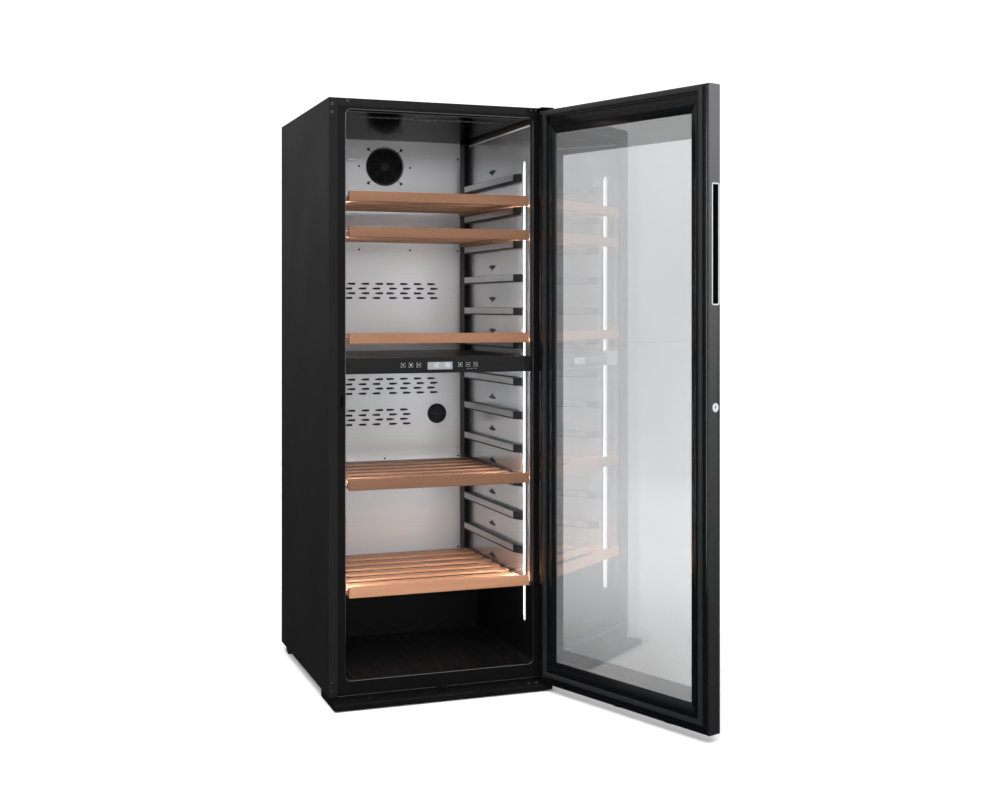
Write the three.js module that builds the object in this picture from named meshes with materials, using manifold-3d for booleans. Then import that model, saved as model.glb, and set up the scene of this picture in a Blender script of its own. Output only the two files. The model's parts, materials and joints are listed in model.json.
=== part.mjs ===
// A tall glass-door wine cooler with two zones, five beech shelves and a rear machine space.
// Millimetres. X = 0 at the centre of the width, Y = 0 at the front face (+Y to the back), Z = 0 at the floor.
import * as THREE from 'three';
import { mergeVertices } from 'three/addons/utils/BufferGeometryUtils.js';
import Module from 'manifold-3d';

const wasm = await Module();
wasm.setup();

// ---------- driving dimensions ----------
const HALF_W = 340; // half the cabinet's width
const DEPTH = 708;
const BASE_Z = 30; // underside of the cabinet
const TOP_Z = 1760;
const SHEET = 1.5; // outer steel
const GAP = 0.3; // clearance between neighbouring pieces
const FLANGE = { side: 26, top: 21 }; // front return flanges of the outer panels

const CAVITY = { halfW: 290, z0: 74, z1: 1727, back: 660.5, corner: 15 };
const STEP = { y: 512, z: 300 }; // moulded step over the machine space
const LINER = 2.5; // liner thickness
const FACE_Y = 0.6; // front of the liner's flange
const MACHINE = { y: 545, z: 265 }; // front and top of the machine space
const REAR_Y = 696; // front of the rear panel, recessed for the condenser
const BACK_SHEET_Y = 640; // visible face of the steel back sheets
const INNER_SHEET = 1; // steel lining sheets

const PARTITION = { z0: 972, z1: 1007, front: 46.3 };
const BAR = { halfW: 288.2, z0: 960, z1: 1007, y0: 8, y1: 46 };
const RACK = { inner: 270.5, outer: 288.2, postY: 594.5, front: 84, taperEnd: 116, railH: 24 };
const RAIL_PITCH = 103.67;
const LOWER_RAILS = { first: 311, count: 7 };
const UPPER_RAILS = { first: 1048, count: 6 };
const LED = { y0: 47, y1: 70, z0: 188, z1: 1607, inner: 285.2 };
const LINING_TOP = 1722; // top of the back sheets, under the ceiling sheet
const AIR_SLOTS = { y0: 100, y1: 106, pitch: 25, halfSlot: 8, eachSide: 8 }; // row across the ceiling sheet

const SHELF = { halfW: 279, front: 2, strip: 18, stripH: 30, back: 585 }; // strip: depth of the front strip
const DECK = { halfW: 277.5, height: 15.7, lift: 2.3 };
const SLATS = { gaps: 6, gapHalfW: 250, width: 44, front: 30, rear: 40 }; // front, rear: depths of the end boards
const SHELF_Z = [1463, 1359, 1048, 622, 311]; // underside of each front strip, from the top

const FAN = { z: 1633, r: 66, lugR: 81, frameHalf: 70, bore: 62, bladeR: 59, hubR: 17, depth: 13, blades: 7 };
const FILTER = { x: 185, z: 789, r: 34 };
const EVAPORATOR = { x0: -200, x1: 194, y0: 643, y1: 659, z0: 1330, z1: 1480, fins: 18 };

const DOOR = { z0: 23.4, z1: 1747, y0: -50, y1: -7.5, openDeg: 109.5 };
const PIVOT = { x: 327, y: -31 };
const PANE = { thick: 4, halfW: 278, z0: 88.3, z1: 1681, y0: -20 };
const FRAME = { side: 270, z0: 96, z1: 1673 }; // inner edge of the door frame's lip
const OUTER_GLASS = { z0: 25, z1: 1745.5, edge: 1.5 }; // edge: how far it stops short of the hinge side
const GASKET = { inner: 305, outer: 319, z0: 46, z1: 1743, w: 14 };
const EDGE = 4.7; // thickness of the aluminium edge profile
const HANDLE = { z0: 1160, z1: 1485, y0: -48, y1: -18, depth: 27 };
const LOCK = { y: -32, z: 889, r: 8.5, boreR: 9.4, camReach: 41 };

const PLINTH = { x0: -336, x1: 333, front: -54, back: 120, z0: 4.4, z1: 21.5 };
const FOOT = { x: 221, y: -10 };
const CASTOR = { x: 323, y: 655, r: 13.5, w: 14 };

// ---------- materials ----------
const material = (color, roughness, metalness = 0) =>
  new THREE.MeshStandardMaterial({ color, roughness, metalness });
const PAINT = material(0x1c1c1e, 0.45, 0.3);
const BLACK_PLASTIC = material(0x121214, 0.55);
const GLOSS_BLACK = material(0x101113, 0.2);
const STEEL = material(0xa4a4a8, 0.35, 1);
const GALVANISED = material(0x8b8d90, 0.5, 0.9);
const ALUMINIUM = material(0x77787a, 0.4, 0.9);
const CHROME = material(0xe6e8ea, 0.08, 1);
const BEECH = material(0xb9825f, 0.6);
const FOAM = material(0xd8c48c, 0.9);
const RUBBER = material(0x18181a, 0.8);
const LIGHT = material(0xf6f8ff, 0.4);
const BOARD = material(0x1f5a34, 0.6);
const GLASS = material(0x2a2d30, 0.05);
const FIN_METAL = material(0xb0b3b6, 0.4, 0.9);

// ---------- shape helpers ----------
function box(x0, x1, y0, y1, z0, z1) {
  const geometry = new THREE.BoxGeometry(x1 - x0, y1 - y0, z1 - z0);
  return geometry.translate((x0 + x1) / 2, (y0 + y1) / 2, (z0 + z1) / 2);
}

// A box on one side of the cabinet: a and b are distances from the centre plane.
function sideBox(side, a, b, y0, y1, z0, z1) {
  return box(Math.min(side * a, side * b), Math.max(side * a, side * b), y0, y1, z0, z1);
}

function shapeOf(points) {
  return new THREE.Shape(points.map(([a, b]) => new THREE.Vector2(a, b)));
}

function rectangle(a0, a1, b0, b1) {
  return [[a0, b0], [a1, b0], [a1, b1], [a0, b1]];
}

function roundedRect(a0, a1, b0, b1, r) {
  const shape = new THREE.Shape();
  shape.absarc(a1 - r, b1 - r, r, 0, Math.PI / 2);
  shape.absarc(a0 + r, b1 - r, r, Math.PI / 2, Math.PI);
  shape.absarc(a0 + r, b0 + r, r, Math.PI, 1.5 * Math.PI);
  shape.absarc(a1 - r, b0 + r, r, 1.5 * Math.PI, 2 * Math.PI);
  shape.closePath();
  return shape;
}

function prismZ(shape, z0, z1, curveSegments = 5) {
  const geometry = new THREE.ExtrudeGeometry(shape, { depth: z1 - z0, bevelEnabled: false, curveSegments });
  return geometry.translate(0, 0, z0);
}

// The outline lies in the YZ plane.
function prismX(shape, x0, x1, curveSegments = 5) {
  const turn = new THREE.Matrix4().makeBasis(
    new THREE.Vector3(0, 1, 0),
    new THREE.Vector3(0, 0, 1),
    new THREE.Vector3(1, 0, 0),
  );
  return prismZ(shape, 0, x1 - x0, curveSegments).applyMatrix4(turn).translate(x0, 0, 0);
}

// The outline lies in the XZ plane.
function prismY(shape, y0, y1, curveSegments = 5) {
  return prismZ(shape, 0, y1 - y0, curveSegments).rotateX(Math.PI / 2).translate(0, y1, 0);
}

function cylinderX(r, x0, x1, y, z, sides = 24) {
  return new THREE.CylinderGeometry(r, r, x1 - x0, sides).rotateZ(Math.PI / 2).translate((x0 + x1) / 2, y, z);
}

function cylinderY(r, y0, y1, x, z, sides = 24) {
  return new THREE.CylinderGeometry(r, r, y1 - y0, sides).translate(x, (y0 + y1) / 2, z);
}

function cylinderZ(r, z0, z1, x, y, sides = 24) {
  return new THREE.CylinderGeometry(r, r, z1 - z0, sides).rotateX(Math.PI / 2).translate(x, y, (z0 + z1) / 2);
}

// Points are [radius, height]; the axis is Z through (x, y).
function lathe(points, x, y, sides = 24) {
  const profile = points.map(([r, h]) => new THREE.Vector2(r, h));
  return new THREE.LatheGeometry(profile, sides).rotateX(Math.PI / 2).translate(x, y, 0);
}

function toManifold(geometry) {
  const bare = geometry.clone();
  bare.deleteAttribute('normal');
  bare.deleteAttribute('uv');
  const merged = mergeVertices(bare, 1e-4);
  return new wasm.Manifold(new wasm.Mesh({
    numProp: 3,
    vertProperties: new Float32Array(merged.attributes.position.array),
    triVerts: new Uint32Array(merged.index.array),
  }));
}

function fromManifold(solid) {
  const mesh = solid.getMesh();
  const geometry = new THREE.BufferGeometry();
  geometry.setAttribute('position', new THREE.BufferAttribute(new Float32Array(mesh.vertProperties), 3));
  geometry.setIndex(new THREE.BufferAttribute(new Uint32Array(mesh.triVerts), 1));
  geometry.computeVertexNormals();
  return geometry;
}

function joined(...parts) {
  return fromManifold(parts.map(toManifold).reduce((a, b) => a.add(b)));
}

function cut(body, ...tools) {
  return fromManifold(tools.map(toManifold).reduce((a, b) => a.subtract(b), toManifold(body)));
}

// A plate from one outline, pierced by others; prism is prismX, prismY or prismZ.
function pierced(prism, outline, holes, from, to, curveSegments) {
  const tools = holes.map((hole) => prism(hole, from - 1, to + 1, curveSegments));
  return cut(prism(outline, from, to, curveSegments), ...tools);
}

function common(a, b) {
  return fromManifold(toManifold(a).intersect(toManifold(b)));
}

function put(group, name, geometry, look) {
  const mesh = new THREE.Mesh(geometry, look);
  mesh.name = name;
  group.add(mesh);
}

const cabinet = new THREE.Group();
const door = new THREE.Group();
door.position.set(PIVOT.x, PIVOT.y, 0);
door.rotation.z = THREE.MathUtils.degToRad(DOOR.openDeg);
// Door pieces are drawn shut, in the cabinet's own coordinates, and swing about the pivot.
const leaf = new THREE.Group();
leaf.position.set(-PIVOT.x, -PIVOT.y, 0);
door.add(leaf);

// ---------- outer shell ----------
function sidePanel(side) {
  const inner = HALF_W - SHEET;
  const skin = [
    [side * HALF_W, 0],
    [side * HALF_W, DEPTH],
    [side * inner, DEPTH],
    [side * inner, SHEET],
    [side * (HALF_W - FLANGE.side), SHEET],
    [side * (HALF_W - FLANGE.side), 0],
  ];
  return prismZ(shapeOf(skin), BASE_Z, TOP_Z);
}

function topPanel() {
  const halfW = HALF_W - SHEET - GAP;
  const flangeHalfW = HALF_W - FLANGE.side - GAP;
  const back = box(-halfW, halfW, SHEET + GAP, DEPTH, TOP_Z - SHEET, TOP_Z);
  const front = box(-flangeHalfW, flangeHalfW, 0, SHEET + GAP, TOP_Z - FLANGE.top, TOP_Z);
  return joined(back, front);
}

put(cabinet, 'side_panel_left', sidePanel(-1), PAINT);
put(cabinet, 'side_panel_right', sidePanel(1), PAINT);
put(cabinet, 'top_panel', topPanel(), PAINT);

const innerHalfW = HALF_W - SHEET - GAP;
const REAR_SHEET = 1;
const PAN = { front: 3, back: 704 };
const rearPanel = box(-innerHalfW, innerHalfW, REAR_Y, REAR_Y + REAR_SHEET, MACHINE.z, TOP_Z - SHEET - GAP);
put(cabinet, 'rear_panel', rearPanel, GALVANISED);
const bottomPan = box(-innerHalfW, innerHalfW, PAN.front, PAN.back, BASE_Z, BASE_Z + SHEET);
put(cabinet, 'bottom_pan', bottomPan, GALVANISED);

// ---------- liner and insulation ----------
// Side outline of the cavity, grown by a given amount behind its open front.
function cavityOutline(front, grow) {
  return shapeOf([
    [front, CAVITY.z0 - grow],
    [STEP.y + grow, CAVITY.z0 - grow],
    [STEP.y + grow, STEP.z - grow],
    [CAVITY.back + grow, STEP.z - grow],
    [CAVITY.back + grow, CAVITY.z1 + grow],
    [front, CAVITY.z1 + grow],
  ]);
}

const STRIKE = { x0: -304.5, x1: -298, z0: 866, z1: 898, rimX: 1.5, rimZ: 5.5, thick: 1.6, pocket: 16 };

function liner() {
  const shell = prismX(cavityOutline(FACE_Y, LINER), -CAVITY.halfW - LINER, CAVITY.halfW + LINER);
  const flange = box(
    -HALF_W + FLANGE.side + GAP, HALF_W - FLANGE.side - GAP, FACE_Y, FACE_Y + 2,
    BASE_Z + 2, TOP_Z - FLANGE.top - GAP,
  );
  const opening = roundedRect(-CAVITY.halfW, CAVITY.halfW, CAVITY.z0, CAVITY.z1, CAVITY.corner);
  const hollow = common(
    prismX(cavityOutline(-5, 0), -CAVITY.halfW, CAVITY.halfW),
    prismY(opening, -6, CAVITY.back + 5),
  );
  const { x0, x1, z0, z1, rimX, rimZ } = STRIKE;
  const slot = box(x0 - rimX - 0.5, x1 + rimX + 0.5, -1, 5, z0 - rimZ - 0.5, z1 + rimZ + 0.5);
  return cut(joined(shell, flange), hollow, slot);
}

function insulation() {
  const front = FACE_Y + 2 + GAP;
  const block = shapeOf([
    [front, BASE_Z + SHEET + GAP],
    [MACHINE.y, BASE_Z + SHEET + GAP],
    [MACHINE.y, MACHINE.z],
    [REAR_Y - GAP, MACHINE.z],
    [REAR_Y - GAP, TOP_Z - SHEET - GAP],
    [front, TOP_Z - SHEET - GAP],
  ]);
  const room = CAVITY.halfW + LINER + GAP;
  const pocket = box(STRIKE.x0 - 4, STRIKE.x1 + 3, -1, STRIKE.pocket, STRIKE.z0 - 8, STRIKE.z1 + 8);
  return cut(
    prismX(block, -innerHalfW, innerHalfW),
    prismX(cavityOutline(-5, LINER + GAP), -room, room),
    pocket,
  );
}

function strikePlate() {
  const { x0, x1, z0, z1, rimX, rimZ, thick } = STRIKE;
  const plate = box(x0 - rimX, x1 + rimX, FACE_Y, FACE_Y + thick, z0 - rimZ, z1 + rimZ);
  return cut(plate, box(x0, x1, -1, 5, z0, z1));
}

put(cabinet, 'liner_tub', liner(), BLACK_PLASTIC);
put(cabinet, 'foam_insulation', insulation(), FOAM);
put(cabinet, 'strike_plate', strikePlate(), BLACK_PLASTIC);

// ---------- steel lining ----------
// A bottle-shaped vent lying on its side, with its neck towards the given direction.
function bottleVent(x, z, towards) {
  const body = 3.6;
  const neck = 1.4;
  const [heel, shoulder, mouth] = [-14, 4, 14].map((u) => x + towards * u);
  return shapeOf([
    [heel, z - body], [shoulder, z - body], [mouth, z - neck],
    [mouth, z + neck], [shoulder, z + body], [heel, z + body],
  ]);
}

const VENT = { first: 20, columns: 4, pitch: 48.5, stagger: 10, rowPitch: 16, rows: 4 };

// Rows of vents on both sides of the centre, necks outwards; every second row is staggered.
function ventBlock(topZ, leaveOut = () => false) {
  const vents = [];
  for (let row = 0; row < VENT.rows; row++) {
    const z = topZ - row * VENT.rowPitch;
    for (const side of [-1, 1]) {
      for (let column = 0; column < VENT.columns; column++) {
        const x = side * (VENT.first + (row % 2) * VENT.stagger + column * VENT.pitch);
        if (!leaveOut(x)) vents.push(bottleVent(x, z, side));
      }
    }
  }
  return vents;
}

function circle(a, b, r) {
  return new THREE.Shape().absarc(a, b, r, 0, 2 * Math.PI);
}

const sheetHalfW = RACK.inner - GAP;
const VENT_TOPS = { upper: 1234, lower: [910, 805] }; // height of each block's top row
const SIDE_SHEET = { x: 289, front: 20, top: 1708, slotY: 359, slotLift: 31 };
const CEILING = { halfW: 284, front: 6 };

function upperBackSheet() {
  const outline = shapeOf(rectangle(-sheetHalfW, sheetHalfW, PARTITION.z1 + GAP, LINING_TOP));
  const holes = [circle(0, FAN.z, FAN.r - 4), ...ventBlock(VENT_TOPS.upper)];
  return pierced(prismY, outline, holes, BACK_SHEET_Y, BACK_SHEET_Y + INNER_SHEET, 16);
}

function lowerBackSheet() {
  const outline = shapeOf(rectangle(-sheetHalfW, sheetHalfW, STEP.z + GAP, PARTITION.z0 - GAP));
  const holes = [
    circle(FILTER.x, FILTER.z, 26),
    ...ventBlock(VENT_TOPS.lower[0]),
    ...ventBlock(VENT_TOPS.lower[1], (x) => x > 100),
  ];
  return pierced(prismY, outline, holes, BACK_SHEET_Y, BACK_SHEET_Y + INNER_SHEET, 16);
}

// A shallow wine-glass-shaped slot: a half ellipse with a short pointed stem, which points up or down.
function glassSlot(y, z, stem) {
  const half = 34;
  const slot = new THREE.Shape();
  if (stem < 0) slot.absellipse(y, z, half, 6.5, 0, Math.PI, false);
  else slot.absellipse(y, z, half, 6.5, Math.PI, 2 * Math.PI, false);
  slot.lineTo(y + stem * 12, z + stem * 5);
  slot.lineTo(y, z + stem * 13);
  slot.lineTo(y - stem * 12, z + stem * 5);
  return slot;
}

function railHeights() {
  const heights = [];
  for (const zone of [LOWER_RAILS, UPPER_RAILS]) {
    for (let n = 0; n < zone.count; n++) heights.push(zone.first + n * RAIL_PITCH);
  }
  return heights;
}

function sideSheet(side) {
  const outline = shapeOf(rectangle(SIDE_SHEET.front, RACK.postY - 1.5, STEP.z + 5, SIDE_SHEET.top));
  const clearOfPartition = (z) => z < PARTITION.z0 - 60 || z > PARTITION.z1;
  const stem = (z) => (z > PARTITION.z1 ? -1 : 1);
  const slots = railHeights()
    .filter(clearOfPartition)
    .map((z) => glassSlot(SIDE_SHEET.slotY, z + SIDE_SHEET.slotLift, stem(z)));
  const x = side * SIDE_SHEET.x;
  return pierced(prismX, outline, slots, x - INNER_SHEET / 2, x + INNER_SHEET / 2, 3);
}

function ceilingSheet() {
  const outline = shapeOf(rectangle(-CEILING.halfW, CEILING.halfW, CEILING.front, BACK_SHEET_Y - GAP));
  const { y0, y1, pitch, halfSlot, eachSide } = AIR_SLOTS;
  const slots = [];
  for (let n = -eachSide; n <= eachSide; n++) {
    slots.push(shapeOf(rectangle(n * pitch - halfSlot, n * pitch + halfSlot, y0, y1)));
  }
  return pierced(prismZ, outline, slots, LINING_TOP + GAP, LINING_TOP + GAP + INNER_SHEET);
}

// One moulding: a corner post with a support for every shelf position, each tapered to the wall at its front.
function rack(side) {
  const bottom = STEP.z + 0.5;
  const top = LINING_TOP - 7;
  const outline = [[RACK.postY, bottom]];
  for (const z of railHeights()) {
    const low = Math.max(z + 2 - RACK.railH, bottom + 0.5);
    outline.push([RACK.postY, low], [RACK.front, low], [RACK.front, z + 2], [RACK.postY, z + 2]);
  }
  outline.push([RACK.postY, top], [BACK_SHEET_Y - GAP, top], [BACK_SHEET_Y - GAP, bottom]);
  const x = [side * RACK.inner, side * RACK.outer].sort((a, b) => a - b);
  const comb = prismX(shapeOf(outline), x[0], x[1]);
  const taper = shapeOf([
    [side * (RACK.inner - 1), RACK.front - 1],
    [side * (RACK.outer - 1.5), RACK.front - 1],
    [side * RACK.inner, RACK.taperEnd],
    [side * (RACK.inner - 1), RACK.taperEnd],
  ]);
  return cut(comb, prismZ(taper, 0, TOP_Z));
}

put(cabinet, 'back_sheet_upper', upperBackSheet(), STEEL);
put(cabinet, 'back_sheet_lower', lowerBackSheet(), STEEL);
put(cabinet, 'ceiling_sheet', ceilingSheet(), STEEL);
for (const [word, side] of [['left', -1], ['right', 1]]) {
  put(cabinet, `side_sheet_${word}`, sideSheet(side), STEEL);
  put(cabinet, `shelf_rack_${word}`, rack(side), BLACK_PLASTIC);
  put(cabinet, `led_strip_${word}`, ledStrip(side), LIGHT);
}

// ---------- lights, partition and controls ----------
function ledStrip(side) {
  const shape = roundedRect(LED.y0, LED.y1, LED.z0, LED.z1, (LED.y1 - LED.y0) / 2 - 0.1);
  const x = [side * LED.inner, side * RACK.outer].sort((a, b) => a - b);
  return prismX(shape, x[0], x[1]);
}

function partition() {
  const wide = LED.inner - GAP;
  const narrow = RACK.inner - GAP;
  const outline = shapeOf([
    [-wide, PARTITION.front],
    [wide, PARTITION.front],
    [wide, RACK.postY - GAP],
    [narrow, RACK.postY - GAP],
    [narrow, CAVITY.back - 1],
    [-narrow, CAVITY.back - 1],
    [-narrow, RACK.postY - GAP],
    [-wide, RACK.postY - GAP],
  ]);
  return prismZ(outline, PARTITION.z0, PARTITION.z1);
}

const DISPLAY = { x0: -41, x1: 43, z0: 970, z1: 998, y0: 8.2, y1: 11 };
const BAR_WALL = 3;
const BOARD_SIZE = { halfW: 130, y0: 14, y1: 16, margin: 6 };

function controlBar() {
  const body = box(-BAR.halfW, BAR.halfW, BAR.y0, BAR.y1, BAR.z0, BAR.z1);
  const hollow = box(-270, 270, BAR.y0 + BAR_WALL, BAR.y1 + 1, BAR.z0 + BAR_WALL, BAR.z1 - BAR_WALL);
  const { x0, x1, z0, z1 } = DISPLAY;
  const window = box(x0 - GAP, x1 + GAP, BAR.y0 - 1, BAR.y0 + BAR_WALL + 1, z0 - GAP, z1 + GAP);
  return cut(body, hollow, window);
}

put(cabinet, 'zone_partition', partition(), BLACK_PLASTIC);
put(cabinet, 'control_bar', controlBar(), GLOSS_BLACK);
const displayWindow = box(DISPLAY.x0, DISPLAY.x1, DISPLAY.y0, DISPLAY.y1, DISPLAY.z0, DISPLAY.z1);
put(cabinet, 'display_window', displayWindow, GLASS);
const { halfW: boardHalfW, y0: boardY0, y1: boardY1, margin } = BOARD_SIZE;
const controlBoard = box(-boardHalfW, boardHalfW, boardY0, boardY1, BAR.z0 + margin, BAR.z1 - margin);
put(cabinet, 'control_board', controlBoard, BOARD);

// ---------- air circulation ----------
function fanFrame() {
  const y1 = CAVITY.back - GAP;
  const { frameHalf } = FAN;
  const outer = shapeOf(rectangle(-frameHalf, frameHalf, FAN.z - frameHalf, FAN.z + frameHalf));
  const frame = pierced(prismY, outer, [circle(0, FAN.z, FAN.bore)], BACK_SHEET_Y + INNER_SHEET + GAP, y1, 12);
  const motorMount = cylinderY(18, y1 - 3, y1, 0, FAN.z, 16);
  const spider = box(-64, 64, y1 - 3, y1, FAN.z - 5, FAN.z + 5);
  return joined(frame, motorMount, spider);
}

// A hub with pitched blades on an axis along Y.
function bladedRotor(x, y0, y1, z, r, hubR, blades) {
  const parts = [cylinderY(hubR, y0, y1, x, z, 16)];
  for (let n = 0; n < blades; n++) {
    const blade = new THREE.BoxGeometry(r - hubR + 6, 1.6, r * 0.42);
    blade.rotateX(THREE.MathUtils.degToRad(32)).translate((r + hubR) / 2 - 3, 0, 0);
    blade.rotateY((n * 2 * Math.PI) / blades).translate(x, (y0 + y1) / 2, z);
    parts.push(blade);
  }
  const disc = cylinderY(r, y0, y1, x, z, 24);
  return common(joined(...parts), disc);
}

// Ring slots between four spokes, with a screw lug at each corner.
function fanGuard() {
  const slots = [];
  const rings = 5;
  for (let ring = 0; ring < rings; ring++) {
    const inner = 14 + ring * 10;
    const outer = inner + 7;
    const spoke = 2.2;
    for (let quarter = 0; quarter < 4; quarter++) {
      const start = Math.PI / 4 + (quarter * Math.PI) / 2;
      const a0 = start + spoke / inner;
      const a1 = start + Math.PI / 2 - spoke / inner;
      const slot = new THREE.Shape();
      slot.absarc(0, FAN.z, outer, a0, a1, false);
      slot.absarc(0, FAN.z, inner, a1, a0, true);
      slots.push(slot);
    }
  }
  const y0 = BACK_SHEET_Y - 4;
  const y1 = BACK_SHEET_Y - 1.5;
  const tools = slots.map((slot) => prismY(slot, y0 - 1, y1 + 1, 2));
  const parts = [cut(cylinderY(FAN.r, y0, y1, 0, FAN.z, 32), ...tools)];
  for (let corner = 0; corner < 4; corner++) {
    const angle = Math.PI / 4 + (corner * Math.PI) / 2;
    const arm = new THREE.BoxGeometry(20, 1.2, 3).translate(FAN.r + 7, 0, 0);
    arm.rotateY(angle).translate(0, BACK_SHEET_Y - 2.2, FAN.z);
    const lug = cylinderY(5, BACK_SHEET_Y - 3.5, BACK_SHEET_Y - GAP, 0, 0, 12);
    lug.translate(Math.cos(angle) * FAN.lugR, 0, FAN.z - Math.sin(angle) * FAN.lugR);
    parts.push(arm, lug);
  }
  return joined(...parts);
}

// Vertical fins joined along their back edge.
function finBlock({ x0, x1, y0, y1, z0, z1, fins }) {
  const pitch = (x1 - x0) / fins;
  const outline = [[x0, y1], [x0, y0]];
  for (let n = 0; n < fins; n++) {
    const x = x0 + n * pitch;
    outline.push([x + pitch * 0.3, y0], [x + pitch * 0.3, y1 - 5]);
    outline.push([x + pitch, y1 - 5], [x + pitch, y0]);
  }
  outline.push([x1 + pitch * 0.3, y0], [x1 + pitch * 0.3, y1]);
  return prismZ(shapeOf(outline), z0, z1);
}

function filterCap() {
  const y = BACK_SHEET_Y;
  const disc = cylinderY(FILTER.r, y - 5, y - GAP, FILTER.x, FILTER.z, 32);
  const canister = cylinderY(24, y - 1, y + 16, FILTER.x, FILTER.z, 20);
  const grip = box(FILTER.x - 26, FILTER.x + 26, y - 10, y - 4, FILTER.z - 4, FILTER.z + 4);
  return joined(disc, canister, grip);
}

const fanY = BACK_SHEET_Y + 2;
const fanRotor = bladedRotor(0, fanY, fanY + FAN.depth, FAN.z, FAN.bladeR, FAN.hubR, FAN.blades);
put(cabinet, 'fan_frame', fanFrame(), BLACK_PLASTIC);
put(cabinet, 'fan_rotor', fanRotor, BLACK_PLASTIC);
put(cabinet, 'fan_guard', fanGuard(), PAINT);
put(cabinet, 'evaporator', finBlock(EVAPORATOR), FIN_METAL);
put(cabinet, 'charcoal_filter', filterCap(), BLACK_PLASTIC);

// ---------- shelves ----------
// A slatted deck joined to a deeper front strip.
function shelf(z) {
  const { halfW, height, lift } = DECK;
  const { gaps: count, gapHalfW } = SLATS;
  const outline = shapeOf(rectangle(-halfW, halfW, SHELF.front + SHELF.strip - 1, SHELF.back));
  const start = SHELF.front + SHELF.strip + SLATS.front;
  const pitch = (SHELF.back - SLATS.rear - start) / count;
  const gaps = [];
  for (let n = 0; n < count; n++) {
    const y = start + n * pitch;
    gaps.push(shapeOf(rectangle(-gapHalfW, gapHalfW, y, y + pitch - SLATS.width)));
  }
  const deck = pierced(prismZ, outline, gaps, z + lift, z + lift + height);
  const strip = box(-SHELF.halfW, SHELF.halfW, SHELF.front, SHELF.front + SHELF.strip, z, z + SHELF.stripH);
  return joined(deck, strip);
}

SHELF_Z.forEach((z, n) => put(cabinet, `shelf_${n + 1}`, shelf(z), BEECH));

// ---------- machine space and back ----------
const COMPRESSOR = { x: -150, y: 620 };
const DRIP_TRAY = { x0: -232, x1: -68, y0: 555, y1: 690, z0: 190, z1: 220, wall: 3 };
const CONTROL_BOX = { x0: 180, x1: 310, y0: 570, y1: 680, z1: 150 };
const COIL = { runs: 14, halfLength: 255, pitch: 96, y: REAR_Y + 6, z: 340, r: 3 };
const COVER = { halfW: 325, y0: REAR_Y + 4, y1: REAR_Y + 5.5 };
const COVER_SLOTS = { columns: 12, first: -294, pitch: 42, width: 10, height: 65, rows: [60, 145] };

function compressor() {
  const floor = BASE_Z + SHEET + GAP;
  return lathe([
    [0, floor], [70, floor], [70, floor + 4], [52, floor + 10], [58, floor + 24],
    [60, floor + 80], [59, floor + 88], [63, floor + 90], [63, floor + 96], [58, floor + 100],
    [54, floor + 130], [38, floor + 148], [0, floor + 153],
  ], COMPRESSOR.x, COMPRESSOR.y, 20);
}

function dripTray() {
  const { x0, x1, y0, y1, z0, z1, wall } = DRIP_TRAY;
  return cut(box(x0, x1, y0, y1, z0, z1), box(x0 + wall, x1 - wall, y0 + wall, y1 - wall, z0 + wall, z1 + 1));
}

// A tube that runs back and forth across the rear panel.
class Serpentine extends THREE.Curve {
  constructor({ runs, halfLength, pitch, y, z }) {
    super();
    Object.assign(this, { runs, halfLength, pitch, y, z });
    this.stepsPerBend = 4;
    this.steps = runs * (this.stepsPerBend + 1) - this.stepsPerBend;
  }

  // Steps are uneven on purpose: one for each straight run and a few for each bend.
  getUtoTmapping(u) {
    return u;
  }

  getPoint(t) {
    const step = t * this.steps;
    const perRun = this.stepsPerBend + 1;
    const run = Math.min(Math.floor(step / perRun), this.runs - 1);
    const within = step - run * perRun;
    const way = run % 2 ? -1 : 1;
    const z = this.z + run * this.pitch;
    if (within <= 1) return new THREE.Vector3(way * this.halfLength * (2 * within - 1), this.y, z);
    const angle = ((within - 1) / this.stepsPerBend) * Math.PI;
    const r = this.pitch / 2;
    return new THREE.Vector3(
      way * (this.halfLength + r * Math.sin(angle)),
      this.y,
      z + r - r * Math.cos(angle),
    );
  }
}

function condenserCoil() {
  const path = new Serpentine(COIL);
  const tube = circle(0, 0, COIL.r);
  return new THREE.ExtrudeGeometry(tube, { steps: path.steps, extrudePath: path, curveSegments: 3 });
}

const INLET = { x: 250, z: 232 };

function machineCover() {
  const { columns, first, pitch, width, height, rows } = COVER_SLOTS;
  const outline = shapeOf(rectangle(-COVER.halfW, COVER.halfW, BASE_Z + 3, MACHINE.z - 3));
  const holes = [shapeOf(rectangle(INLET.x - 24, INLET.x + 24, INLET.z - 14, INLET.z + 14))];
  for (let column = 0; column < columns; column++) {
    const x = first + column * pitch;
    for (const z of rows) holes.push(shapeOf(rectangle(x, x + width, z, z + height)));
  }
  return pierced(prismY, outline, holes, COVER.y0, COVER.y1);
}

function powerInlet() {
  const { x, z } = INLET;
  const back = COVER.y1;
  const body = box(x - 23.5, x + 23.5, back - 18, back + GAP + 1, z - 13.5, z + 13.5);
  const flange = box(x - 29, x + 29, back + GAP, back + 3.5, z - 18, z + 18);
  const socket = box(x - 18, x + 18, back - 13, back + 5, z - 9, z + 9);
  return cut(joined(body, flange), socket);
}

put(cabinet, 'compressor', compressor(), PAINT);
put(cabinet, 'drip_tray', dripTray(), BLACK_PLASTIC);
const { x0: boxX0, x1: boxX1, y0: boxY0, y1: boxY1, z1: boxTop } = CONTROL_BOX;
put(cabinet, 'control_box', box(boxX0, boxX1, boxY0, boxY1, BASE_Z + SHEET + GAP, boxTop), BLACK_PLASTIC);
put(cabinet, 'condenser_coil', condenserCoil(), PAINT);
put(cabinet, 'machine_cover', machineCover(), GALVANISED);
put(cabinet, 'power_inlet', powerInlet(), BLACK_PLASTIC);

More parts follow.
